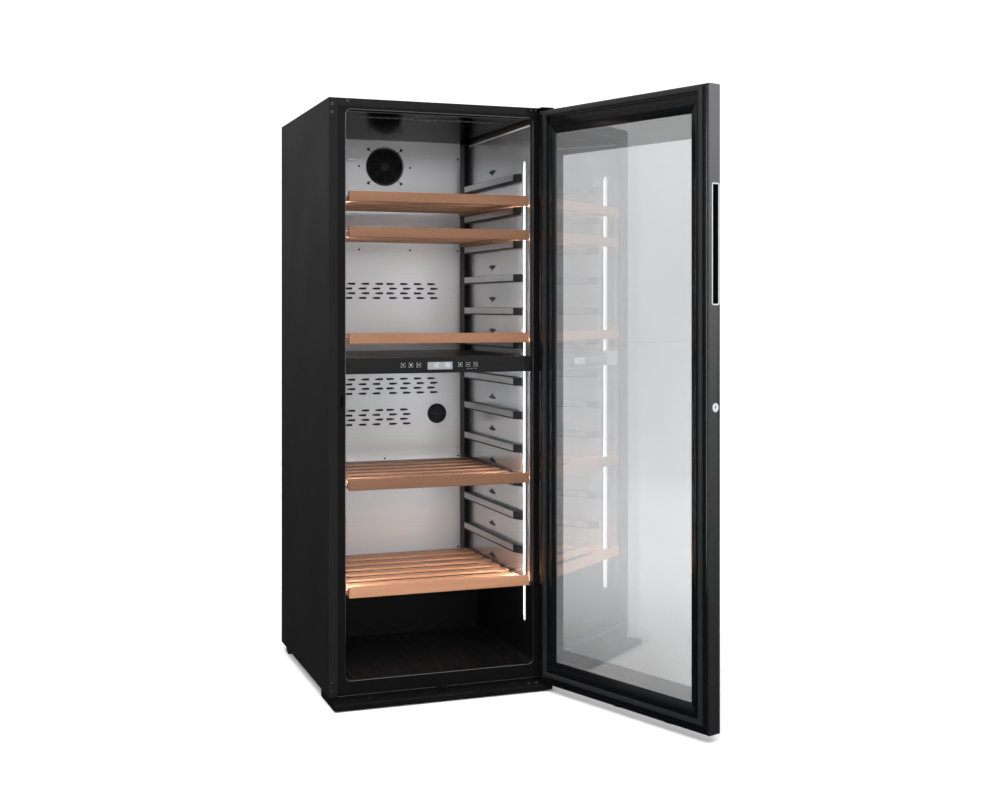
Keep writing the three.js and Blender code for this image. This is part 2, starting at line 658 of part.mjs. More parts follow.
// ---------- base ----------
function basePlate() {
  const { front, back, z0, z1 } = PLINTH;
  const lip = 3;
  const seat = BASE_Z - GAP;
  const outline = shapeOf([
    [front + lip, z0], [back, z0], [back, seat], [4, seat], [4, z1], [front + lip, z1],
    [front, z1 - lip], [front, z0 + lip],
  ]);
  const plate = prismX(outline, PLINTH.x0, PLINTH.x1);
  const holes = [-1, 1].map((side) => cylinderZ(5.6, z0 - 1, z1 + 1, side * FOOT.x, FOOT.y));
  return cut(plate, ...holes);
}

function levellingFoot(x) {
  return lathe([[0, 0], [17, 0], [17, 3], [14, 4.1], [5, 4.1], [5, 22.2], [0, 22.2]], x, FOOT.y, 16);
}

// An inverted channel with a fixed axle through its cheeks.
function castorBracket(side) {
  const x = side * CASTOR.x;
  const half = CASTOR.w / 2 + 1;
  const cheek = 1.6;
  const top = BASE_Z - GAP;
  const channel = shapeOf([
    [x - half - cheek, 8], [x - half, 8], [x - half, top - 1.2], [x + half, top - 1.2],
    [x + half, 8], [x + half + cheek, 8], [x + half + cheek, top], [x - half - cheek, top],
  ]);
  const body = prismY(channel, CASTOR.y - 12, CASTOR.y + 12);
  return joined(body, cylinderX(2.5, x - half - cheek, x + half + cheek, CASTOR.y, CASTOR.r, 16));
}

function castorWheel(side) {
  const x = side * CASTOR.x;
  const tyre = cylinderX(CASTOR.r, x - CASTOR.w / 2, x + CASTOR.w / 2, CASTOR.y, CASTOR.r, 32);
  return cut(tyre, cylinderX(3, x - CASTOR.w, x + CASTOR.w, CASTOR.y, CASTOR.r, 16));
}

put(cabinet, 'base_plate', basePlate(), PAINT);
for (const [word, side] of [['left', -1], ['right', 1]]) {
  put(cabinet, `levelling_foot_${word}`, levellingFoot(side * FOOT.x), RUBBER);
  put(cabinet, `castor_bracket_${word}`, castorBracket(side), GALVANISED);
  put(cabinet, `castor_wheel_${word}`, castorWheel(side), RUBBER);
}
const SENSOR = { x0: -14, x1: 13, front: -6.8, z0: 25, z1: 37 };
const doorSensor = box(SENSOR.x0, SENSOR.x1, SENSOR.front, -GAP, SENSOR.z0, SENSOR.z1);
put(cabinet, 'door_sensor', doorSensor, BLACK_PLASTIC);

// ---------- hinges ----------
function topHingeBracket() {
  const plateZ = DOOR.z1 + 5.5;
  const wall = box(272, HALF_W - 2, -3.3, -GAP, DOOR.z1 - 2.5, plateZ + 4);
  const plate = box(300, HALF_W, PIVOT.y - 16, -GAP, plateZ, plateZ + 4);
  const pin = cylinderZ(4, DOOR.z1 - 20, plateZ + 1, PIVOT.x, PIVOT.y, 32);
  return joined(wall, plate, pin);
}

function bottomHingePin() {
  const z = PLINTH.z1 + GAP;
  const [collar, pin, top] = [7.5, 4, z + 21];
  const profile = [[0, z], [collar, z], [collar, z + 1.2], [pin, z + 1.2], [pin, top], [0, top]];
  return lathe(profile, PIVOT.x, PIVOT.y, 20);
}

// A bush is a tube pressed into the end of the door frame.
const BUSH = { length: 22, outerR: 7.7, innerR: 4.6 };

function hingeBush(z0) {
  const tube = cylinderZ(BUSH.outerR, z0, z0 + BUSH.length, PIVOT.x, PIVOT.y, 20);
  return cut(tube, cylinderZ(BUSH.innerR, z0 - 1, z0 + BUSH.length + 1, PIVOT.x, PIVOT.y, 20));
}

put(cabinet, 'top_hinge_bracket', topHingeBracket(), PAINT);
put(cabinet, 'bottom_hinge_pin', bottomHingePin(), GALVANISED);
put(leaf, 'top_hinge_bush', hingeBush(DOOR.z1 - BUSH.length), RUBBER);
put(leaf, 'bottom_hinge_bush', hingeBush(DOOR.z0), RUBBER);

// ---------- door ----------
const RAIL_FRONT = DOOR.y0 + PANE.thick + GAP; // behind the outer pane
const LIP_Y = PANE.y0 + PANE.thick + GAP; // the lip's outer side, over the inner pane
const LIP_FACE = -9;
const GROOVE = { y: -12, slack: 0.5 };

// Section of a frame rail as [distance along the leaf, y], from the outer edge inwards.
function railSection(outer, pane, lip, step) {
  return [
    [outer, RAIL_FRONT],
    [pane, RAIL_FRONT],
    [pane, LIP_Y],
    [lip, LIP_Y],
    [lip, LIP_FACE],
    [step, LIP_FACE],
    [step, DOOR.y1],
    [outer, DOOR.y1],
  ];
}

// A rectangular ring that follows the gasket, grown sideways by slack.
function gasketRing(slack, y0, y1) {
  const { inner, outer, z0, z1, w } = GASKET;
  const rim = roundedRect(-outer - slack, outer + slack, z0 - slack, z1 + slack, 6);
  const inside = roundedRect(-inner + slack, inner - slack, z0 + w + slack, z1 - w - slack, 4);
  return pierced(prismY, rim, [inside], y0, y1, 2);
}

function grooved(rail) {
  return cut(rail, gasketRing(GROOVE.slack, GROOVE.y, 1));
}

function frameStile(side) {
  const outer = side > 0 ? HALF_W : HALF_W - EDGE - GAP;
  const section = railSection(outer, PANE.halfW + GAP, FRAME.side, GASKET.inner);
  const bar = prismZ(shapeOf(section.map(([a, y]) => [side * a, y])), FRAME.z0 + GAP, FRAME.z1 - GAP);
  const inner = PANE.halfW + GAP;
  const core = sideBox(side, inner, outer, RAIL_FRONT, LIP_Y - 0.5, PANE.z0 + GAP, PANE.z1 - GAP);
  return grooved(joined(bar, core));
}

// Top and bottom rails run the full width; the hinge bushes sit in them.
function frameRail(outer, pane, lip, step) {
  const section = railSection(outer, pane, lip, step);
  const bar = prismX(shapeOf(section.map(([z, y]) => [y, z])), -HALF_W + EDGE + GAP, HALF_W);
  return cut(grooved(bar), cylinderZ(8, outer - 24, outer + 24, PIVOT.x, PIVOT.y, 32));
}

function handleStile() {
  const { y, z, camReach } = LOCK;
  const wall = 4;
  const finger = box(
    -HALF_W, -HALF_W + HANDLE.depth,
    HANDLE.y0 + wall, HANDLE.y1 - wall, HANDLE.z0 + wall, HANDLE.z1 - wall,
  );
  const bore = cylinderX(LOCK.boreR, -HALF_W, -303, y, z);
  const camRoom = box(-303.4, -298.6, y - 9, 0, z - camReach - 5, z + 9);
  return cut(frameStile(-1), finger, bore, camRoom);
}

function edgeProfile() {
  const outline = shapeOf(rectangle(DOOR.y0, DOOR.y1, DOOR.z0, DOOR.z1));
  const slot = roundedRect(HANDLE.y0 + 3, HANDLE.y1 - 3, HANDLE.z0 + 3, HANDLE.z1 - 3, 4);
  return pierced(prismX, outline, [slot, circle(LOCK.y, LOCK.z, LOCK.boreR)], -HALF_W, -HALF_W + EDGE, 8);
}

// A proud chrome ring with a collar that lines the mouth of the finger recess.
function handleSurround() {
  const { y0, y1, z0, z1 } = HANDLE;
  // The opening's outline drawn in from the ring's edge by an inset.
  const outline = (inset, corner) => roundedRect(y0 + inset, y1 - inset, z0 + inset, z1 - inset, corner);
  const face = prismX(outline(0, 6), -HALF_W - 1.2, -HALF_W - GAP, 2);
  const collar = prismX(outline(4.2, 4), -HALF_W - GAP, -HALF_W + 14, 2);
  const mouth = prismX(outline(6, 3), -HALF_W - 5, -HALF_W + 20, 2);
  return cut(joined(face, collar), mouth);
}

function lockBarrel() {
  const face = -HALF_W - 1.6;
  const barrel = lathe([
    [0, face], [12, face], [12, -HALF_W - GAP], [LOCK.r, -HALF_W - GAP], [LOCK.r, -303.2], [0, -303.2],
  ], 0, 0, 32);
  barrel.rotateY(Math.PI / 2).translate(0, LOCK.y, LOCK.z);
  return cut(barrel, box(face - 1, face + 3, LOCK.y - 1, LOCK.y + 1, LOCK.z - 4, LOCK.z + 4));
}

function lockCam() {
  const { y, z, camReach } = LOCK;
  const blade = roundedRect(y - 6, y + 6, z - camReach, z + 6, 5.5);
  return prismX(blade, -302.9, -299.9);
}

const outerGlass = box(
  -HALF_W + EDGE + GAP, HALF_W - OUTER_GLASS.edge, DOOR.y0, DOOR.y0 + PANE.thick,
  OUTER_GLASS.z0, OUTER_GLASS.z1,
);
const innerGlass = box(-PANE.halfW, PANE.halfW, PANE.y0, PANE.y0 + PANE.thick, PANE.z0, PANE.z1);
const topRail = frameRail(DOOR.z1, PANE.z1 + GAP, FRAME.z1, GASKET.z1 - GASKET.w);
const bottomRail = frameRail(DOOR.z0, PANE.z0 - GAP, FRAME.z0, GASKET.z0 + GASKET.w);
put(leaf, 'outer_glass', outerGlass, GLASS);
put(leaf, 'inner_glass', innerGlass, GLASS);
put(leaf, 'door_rail_top', topRail, BLACK_PLASTIC);
put(leaf, 'door_rail_bottom', bottomRail, BLACK_PLASTIC);
put(leaf, 'door_stile_hinge', frameStile(1), BLACK_PLASTIC);
put(leaf, 'door_stile_handle', handleStile(), BLACK_PLASTIC);
put(leaf, 'door_gasket', gasketRing(0, -11.6, -0.5), RUBBER);
put(leaf, 'door_edge_profile', edgeProfile(), ALUMINIUM);
put(leaf, 'handle_surround', handleSurround(), CHROME);
put(leaf, 'lock_barrel', lockBarrel(), CHROME);
put(leaf, 'lock_cam', lockCam(), GALVANISED);

cabinet.add(door);
export default cabinet;
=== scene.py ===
"""Visual model of the wine cooler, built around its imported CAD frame. Metres, same frame as the CAD."""

import json
import math

import bmesh
import bpy
from mathutils import Matrix, Vector


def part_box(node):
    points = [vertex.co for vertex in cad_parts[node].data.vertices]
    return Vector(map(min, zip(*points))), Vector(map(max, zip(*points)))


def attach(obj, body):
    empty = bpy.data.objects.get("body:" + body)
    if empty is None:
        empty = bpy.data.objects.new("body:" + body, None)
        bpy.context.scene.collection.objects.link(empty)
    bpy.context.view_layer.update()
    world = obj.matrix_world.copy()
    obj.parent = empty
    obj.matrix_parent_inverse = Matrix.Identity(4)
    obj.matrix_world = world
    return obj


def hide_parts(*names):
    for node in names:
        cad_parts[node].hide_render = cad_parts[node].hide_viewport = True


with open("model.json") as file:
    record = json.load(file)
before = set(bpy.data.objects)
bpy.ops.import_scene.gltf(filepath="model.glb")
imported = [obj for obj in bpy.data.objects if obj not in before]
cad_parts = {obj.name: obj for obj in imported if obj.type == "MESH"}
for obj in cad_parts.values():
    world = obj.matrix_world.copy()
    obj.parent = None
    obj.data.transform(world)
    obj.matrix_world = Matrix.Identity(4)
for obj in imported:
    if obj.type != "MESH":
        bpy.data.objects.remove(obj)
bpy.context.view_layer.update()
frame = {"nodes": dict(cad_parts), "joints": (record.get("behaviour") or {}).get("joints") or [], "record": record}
nodes = frame["nodes"]
joints = {joint["name"]: joint for joint in frame["joints"]}
MM = 0.001

# ---------- places taken from the frame ----------
hinge = joints["door_hinge"]
PIVOT = Vector((hinge["pos_m"][0], hinge["pos_m"][1], 0))
OPEN = -math.radians(hinge["range_deg"][0])
DOOR_TURN = Matrix.Translation(PIVOT) @ Matrix.Rotation(OPEN, 4, "Z") @ Matrix.Translation(-PIVOT)


def mm_box(node):
    """A node's lowest and highest corners in millimetres."""
    lo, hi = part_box(node)
    return [c / MM for c in lo], [c / MM for c in hi]


def shut_box(node):
    """A door node's corners in millimetres as if the door were shut."""
    back = DOOR_TURN.inverted()
    points = [back @ v.co for v in nodes[node].data.vertices]
    return ([min(p[i] for p in points) / MM for i in range(3)],
            [max(p[i] for p in points) / MM for i in range(3)])


def centre(lo, hi):
    """The middle of a box given by its corners."""
    return [(a + b) / 2 for a, b in zip(lo, hi)]


# ---------- camera ----------
camera_data = bpy.data.cameras.new("camera")
camera_data.lens = 49.06
camera_data.sensor_width = 36
camera_data.shift_y = -0.093
camera = bpy.data.objects.new("camera", camera_data)
camera.location = (-1.2204, -3.8527, 1.1554)
camera.rotation_euler = (math.radians(90), 0, math.radians(-20.03))
bpy.context.scene.collection.objects.link(camera)
bpy.context.scene.camera = camera


# ---------- materials ----------
class Shader:
    """A material with a Principled surface and helpers to feed it. Noise scales are in cycles a metre."""

    def __init__(self, name, **sockets):
        self.material = bpy.data.materials.new(name)
        self.material.use_nodes = True
        self.tree = self.material.node_tree
        self.surface = self.tree.nodes["Principled BSDF"]
        for socket, value in sockets.items():
            self.surface.inputs[SOCKETS[socket]].default_value = value
        self.coordinates = self.add("ShaderNodeTexCoord").outputs["Object"]

    def add(self, kind, **inputs):
        node = self.tree.nodes.new(kind)
        for key, value in inputs.items():
            name = key.replace("_", " ")
            if name in node.inputs.keys():
                self.feed(node.inputs[name], value)
            else:
                setattr(node, key, value)
        return node

    def feed(self, socket, value):
        if isinstance(value, bpy.types.NodeSocket):
            self.tree.links.new(value, socket)
        else:
            socket.default_value = value

    def link(self, output, socket):
        self.tree.links.new(output, self.surface.inputs[socket])

    def place(self, scale, turn=0.0):
        """Object coordinates, turned about Z and then stretched."""
        turned = self.add("ShaderNodeMapping", Vector=self.coordinates, Rotation=(0, 0, turn))
        return self.add("ShaderNodeMapping", Vector=turned.outputs[0], Scale=scale).outputs[0]

    def noise(self, scale, detail=4.0, turn=0.0, roughness=0.5, distortion=0.0):
        node = self.add("ShaderNodeTexNoise", Vector=self.place(scale, turn))
        node.inputs["Scale"].default_value = 1.0
        node.inputs["Detail"].default_value = detail
        node.inputs["Roughness"].default_value = roughness
        node.inputs["Distortion"].default_value = distortion
        return node.outputs["Fac"]

    def ramp(self, value, stops):
        node = self.add("ShaderNodeValToRGB", Fac=value)
        elements = node.color_ramp.elements
        while len(elements) < len(stops):
            elements.new(0.5)
        for element, (at, color) in zip(elements, stops):
            element.position = at
            element.color = (*color, 1)
        return node.outputs["Color"]

    def span(self, value, low, high):
        """Spreads the middle of a noise over a range."""
        node = self.add("ShaderNodeMapRange", Value=value)
        node.inputs["From Min"].default_value = 0.25
        node.inputs["From Max"].default_value = 0.75
        node.inputs["To Min"].default_value = low
        node.inputs["To Max"].default_value = high
        return node.outputs["Result"]

    def math(self, operation, a, b):
        node = self.add("ShaderNodeMath", operation=operation)
        self.feed(node.inputs[0], a)
        self.feed(node.inputs[1], b)
        return node.outputs[0]

    def mix(self, factor, a, b):
        node = self.add("ShaderNodeMix", data_type="RGBA")
        self.feed(node.inputs["Factor"], factor)
        self.feed(node.inputs[6], a)
        self.feed(node.inputs[7], b)
        return node.outputs[2]

    def bump(self, height, distance, strength=1.0):
        node = self.add("ShaderNodeBump", Height=height)
        node.inputs["Distance"].default_value = distance
        node.inputs["Strength"].default_value = strength
        self.link(node.outputs["Normal"], "Normal")


SOCKETS = {
    "metallic": "Metallic",
    "roughness": "Roughness",
    "anisotropic": "Anisotropic",
    "specular": "Specular IOR Level",
    "edge_tint": "Specular Tint",
    "transmission": "Transmission Weight",
    "ior": "IOR",
    "coat": "Coat Weight",
    "emission_strength": "Emission Strength",
}


def shade(color, factor):
    """A colour made lighter or darker."""
    return tuple(min(1.0, c * factor) for c in color)


def moulded(name, color, rough=(0.38, 0.5), grain=1400, depth=0.00004, variation=0.16, **sockets):
    """Painted or moulded surface: slow tone drift, fine texture and slightly uneven gloss."""
    s = Shader(name, **sockets)
    drift = s.noise((3, 3, 3), detail=2)
    fine = s.noise((grain, grain, grain), detail=2)
    smudge = s.noise((5, 5, 5), detail=3)
    tone = s.ramp(drift, [(0.3, shade(color, 1 - variation)), (0.7, shade(color, 1 + variation))])
    s.link(s.mix(s.math("MULTIPLY", fine, 0.3), tone, (*shade(color, 1.3), 1)), "Base Color")
    s.link(s.span(smudge, *rough), "Roughness")
    s.bump(fine, depth, 0.4)
    return s.material


def brushed(name, color, rough=(0.24, 0.38), along="z", turn=0.0, depth=0.00002, anisotropic=0.4, wave=0.0,
            **sockets):
    """Rolled or brushed metal with its grain along one axis and, in thin sheets, a slight waviness."""
    s = Shader(name, **{"metallic": 1.0, "anisotropic": anisotropic, **sockets})
    fine, coarse = {
        "x": ((6, 1800, 1800), (1.5, 240, 240)),
        "y": ((1800, 6, 1800), (240, 1.5, 240)),
        "z": ((1800, 1800, 6), (240, 240, 1.5)),
    }[along]
    hair = s.noise(fine, detail=3, turn=turn)
    streak = s.noise(coarse, detail=4, turn=turn)
    cloud = s.noise((3, 3, 3), detail=3)
    tone = s.ramp(streak, [(0.3, shade(color, 0.97)), (0.7, shade(color, 1.02))])
    s.link(s.mix(s.math("MULTIPLY", cloud, 0.25), tone, (*shade(color, 0.95), 1)), "Base Color")
    s.link(s.math("ADD", s.span(hair, *rough), s.span(cloud, -0.015, 0.02)), "Roughness")
    if wave:
        swell = s.math("MULTIPLY", s.noise((3.5, 3.5, 5), detail=1), wave)
        s.bump(s.math("ADD", s.math("MULTIPLY", hair, depth), swell), 1.0)
    else:
        s.bump(hair, depth, 0.5)
    return s.material


def wood(name, along, light, dark, fleck):
    """Steamed beech: long soft grain, fine fibres and short darker ray flecks."""
    s = Shader(name, specular=0.42)

    def scaled(along_grain, across):
        return {"x": (along_grain, across, across), "y": (across, along_grain, across)}[along]

    bands = s.noise(scaled(2.6, 52), detail=5, roughness=0.55, distortion=0.6)
    fibres = s.noise(scaled(26, 520), detail=5, roughness=0.65)
    rays = s.noise(scaled(110, 900), detail=2)
    board = s.noise((3.1, 3.1, 3.1), detail=1)
    grain = s.mix(s.span(bands, 0.0, 1.0), (*dark, 1), (*light, 1))
    grain = s.mix(s.math("MULTIPLY", fibres, 0.35), grain, (*shade(dark, 0.8), 1))
    spots = s.ramp(rays, [(0.6, (0, 0, 0)), (0.68, (1, 1, 1))])
    grain = s.mix(s.math("MULTIPLY", spots, 0.55), grain, (*fleck, 1))
    s.link(s.mix(s.math("MULTIPLY", board, 0.3), grain, (*shade(light, 1.12), 1)), "Base Color")
    s.link(s.span(fibres, 0.42, 0.62), "Roughness")
    s.bump(fibres, 0.00012, 0.45)
    return s.material


def tinted_glass(name, color, ior):
    """Clear pane with a faintly uneven tint and a trace of haze."""
    s = Shader(name, transmission=1.0, ior=ior)
    film = s.noise((2.2, 2.2, 1.4), detail=2)
    s.link(s.ramp(film, [(0.3, shade(color, 0.97)), (0.7, shade(color, 1.03))]), "Base Color")
    s.link(s.span(s.noise((9, 9, 5), detail=5), 0.0, 0.012), "Roughness")
    return s.material


def glowing(name, color, strength, base=1.0):
    """Lit surface, with a base colour that can be darker than its glow."""
    s = Shader(name, roughness=0.4, emission_strength=strength)
    cloud = s.noise((40, 40, 9), detail=2)
    for socket, factor in (("Base Color", base), ("Emission Color", 1.0)):
        s.link(s.ramp(cloud, [(0.3, shade(color, 0.96 * factor)), (0.7, shade(color, factor))]), socket)
    return s.material


INK = (0.0075, 0.0075, 0.008)
paint = moulded("satin black paint", (0.0085, 0.0085, 0.009), rough=(0.4, 0.48), specular=0.22)
plastic = moulded("moulded black plastic", (0.0036, 0.0036, 0.0039), rough=(0.34, 0.44), specular=0.22)
frame_plastic = moulded("door frame plastic", (0.0028, 0.003, 0.0034), rough=(0.12, 0.18), grain=900, specular=0.62)
plate_paint = moulded("base plate paint", (0.004, 0.004, 0.0042), rough=(0.4, 0.48), specular=0.12)
nickel = moulded("bright satin nickel", (0.52, 0.525, 0.535), rough=(0.22, 0.3), variation=0.03, specular=0.6)
gloss = moulded("gloss black panel", INK, rough=(0.1, 0.17), depth=0.00001, specular=0.5, coat=0.4)
rubber = moulded("black gasket rubber", (0.012, 0.0125, 0.013), rough=(0.28, 0.4), grain=700, specular=0.6)
foam = moulded("cast insulation foam", (0.62, 0.52, 0.28), rough=(0.8, 0.95), grain=500, depth=0.0006)
board_green = moulded("circuit board lacquer", (0.02, 0.13, 0.05), rough=(0.25, 0.4))
border_ink = moulded("printed glass border", INK, rough=(0.2, 0.26), depth=0.000005, specular=0.5)
steel = brushed("brushed steel lining", (0.72, 0.725, 0.74), rough=(0.2, 0.28), along="x", depth=0.000003, wave=0.004,
                metallic=0.88)
# The back lining is a lighter, partly non-metal copy of the lining steel: painted light.
lit_back_steel = brushed("brushed steel back lining, painted light", (0.88, 0.885, 0.9), rough=(0.19, 0.25), along="x", depth=0.000001,
                     wave=0.004, metallic=0.55)
# The ceiling is a darkened copy of the lining steel: painted shade.
shaded_ceiling_steel = brushed("brushed steel ceiling, painted shade", (0.16, 0.16, 0.163), rough=(0.12, 0.18), along="x", depth=0.0000005,
                        edge_tint=(0.3, 0.3, 0.3, 1))
strip_steel = brushed("brushed steel strip", (0.62, 0.62, 0.62), along="y")
zinc = brushed("galvanised sheet", (0.45, 0.46, 0.47), rough=(0.34, 0.5), along="x", anisotropic=0.15)
fins = brushed("aluminium fins", (0.7, 0.7, 0.71), along="z")
edge_metal = brushed("anodised aluminium edge", (0.3, 0.3, 0.305), rough=(0.3, 0.4), along="z", turn=-OPEN)
chrome = brushed("polished chrome", (0.82, 0.83, 0.84), rough=(0.05, 0.1), along="z", depth=0.000002, anisotropic=0.0)
trim_metal = brushed("light grey trim", (0.34, 0.34, 0.35), rough=(0.25, 0.35), along="z")
# The rim trim is pale to show the light its edge catches: painted highlight.
highlight_trim = moulded("pale edge, painted highlight", (0.6, 0.61, 0.62), rough=(0.3, 0.4), variation=0.03)
grille_trim = moulded("grey lacquered grille", (0.09, 0.09, 0.092), rough=(0.3, 0.4), variation=0.03)
guard_plastic = moulded("fan guard plastic", (0.022, 0.022, 0.023), rough=(0.25, 0.35), specular=0.5)
# The grey film glows though it is no lamp: painted light on the spacer and on the border's inner side.
glowing_grey_film = glowing("grey spacer film, painted glow", (0.3, 0.3, 0.303), 0.5)
BEECH = ((0.235, 0.118, 0.068), (0.175, 0.08, 0.042), (0.09, 0.036, 0.018))  # light wood, dark wood, flecks
# Each shelf's beech is scaled to how bright it looks where it stands: partly the boards' own tone, mostly painted
# light and shade.
SHELF_TONE_AND_LIGHT = (1.04, 0.95, 1.3, 0.9, 1.95)  # from the top shelf down
led = glowing("lit light diffuser", (0.93, 0.96, 1.0), 1.1, base=0.3)
display = glowing("lit display", (0.16, 0.17, 0.178), 0.9)
ink_white = glowing("white printed marks", (0.5, 0.52, 0.54), 0.2)
digit_ink = glowing("display digits", (0.62, 0.66, 0.7), 0.3)
outer_pane = tinted_glass("tinted outer glass", (0.7, 0.7, 0.705), 1.5)
inner_pane = tinted_glass("coated inner glass", (0.84, 0.845, 0.85), 2.3)

LOOKS = {
    "satin_black_paint": paint,
    "black_plastic": plastic,
    "gloss_black": gloss,
    "brushed_steel": steel,
    "galvanised": zinc,
    "fin_aluminium": fins,
    "grey_aluminium": edge_metal,
    "chrome": chrome,
    "foam": foam,
    "rubber": rubber,
    "led_diffuser": led,
    "circuit_board": board_green,
    "tinted_glass": outer_pane,
    "display_glass": display,
}
OWN_LOOKS = {
    "base_plate": plate_paint,
    "top_hinge_bracket": plate_paint,
    "inner_glass": inner_pane,
    "ceiling_sheet": shaded_ceiling_steel,
    "back_sheet_upper": lit_back_steel,
    "back_sheet_lower": lit_back_steel,
    **{f"door_{side}": frame_plastic for side in ("rail_top", "rail_bottom", "stile_hinge", "stile_handle")},
}
SHELF_LOOKS = {}
for number, factor in enumerate(SHELF_TONE_AND_LIGHT, 1):
    beech_tone_and_light = [shade(color, factor) for color in BEECH]
    SHELF_LOOKS[f"shelf_{number}"] = [wood(f"beech {number}, grain along {axis}", axis, *beech_tone_and_light) for axis in "xy"]
    OWN_LOOKS[f"shelf_{number}"] = SHELF_LOOKS[f"shelf_{number}"][0]
for entry in frame["record"]["subparts"]:
    look = OWN_LOOKS.get(entry["node"]) or LOOKS[entry["material_slot"]]
    for material_slot in nodes[entry["node"]].material_slots:
        material_slot.material = look


def soften(names, width):
    """Rounds the sharp edges of CAD nodes, by a width in millimetres, without touching their meshes."""
    for name in names:
        flat = nodes[name].modifiers.new("merge flats", "DECIMATE")
        flat.decimate_type = "DISSOLVE"
        flat.angle_limit = math.radians(0.5)
        bevel = nodes[name].modifiers.new("soft edges", "BEVEL")
        bevel.width = width * MM
        bevel.segments = 2
        bevel.limit_method = "ANGLE"
        bevel.angle_limit = math.radians(30)


soften(["side_panel_left", "side_panel_right", "top_panel"], 0.7)
soften(["base_plate", "top_hinge_bracket", "control_bar", "zone_partition"], 0.8)
soften(["shelf_rack_left", "shelf_rack_right", "door_edge_profile", "machine_cover", "control_box"], 0.5)


# ---------- mesh building ----------
SHARP = math.radians(35)  # edges sharper than this stay crisp in smooth shading
DOOR_MM = Matrix.Translation(PIVOT / MM) @ Matrix.Rotation(OPEN, 4, "Z") @ Matrix.Translation(-PIVOT / MM)


def circle(sides):
    """Cosine and sine of each corner of a round section."""
    return [(math.cos(t), math.sin(t)) for t in (2 * math.pi * i / sides for i in range(sides))]


def between(first, second):
    """Corners and faces of the closed shape between two outlines of equal length."""
    n = len(first)
    faces = [tuple(range(n)), tuple(range(n, 2 * n))]
    faces += [(i, (i + 1) % n, n + (i + 1) % n, n + i) for i in range(n)]
    return [*first, *second], faces


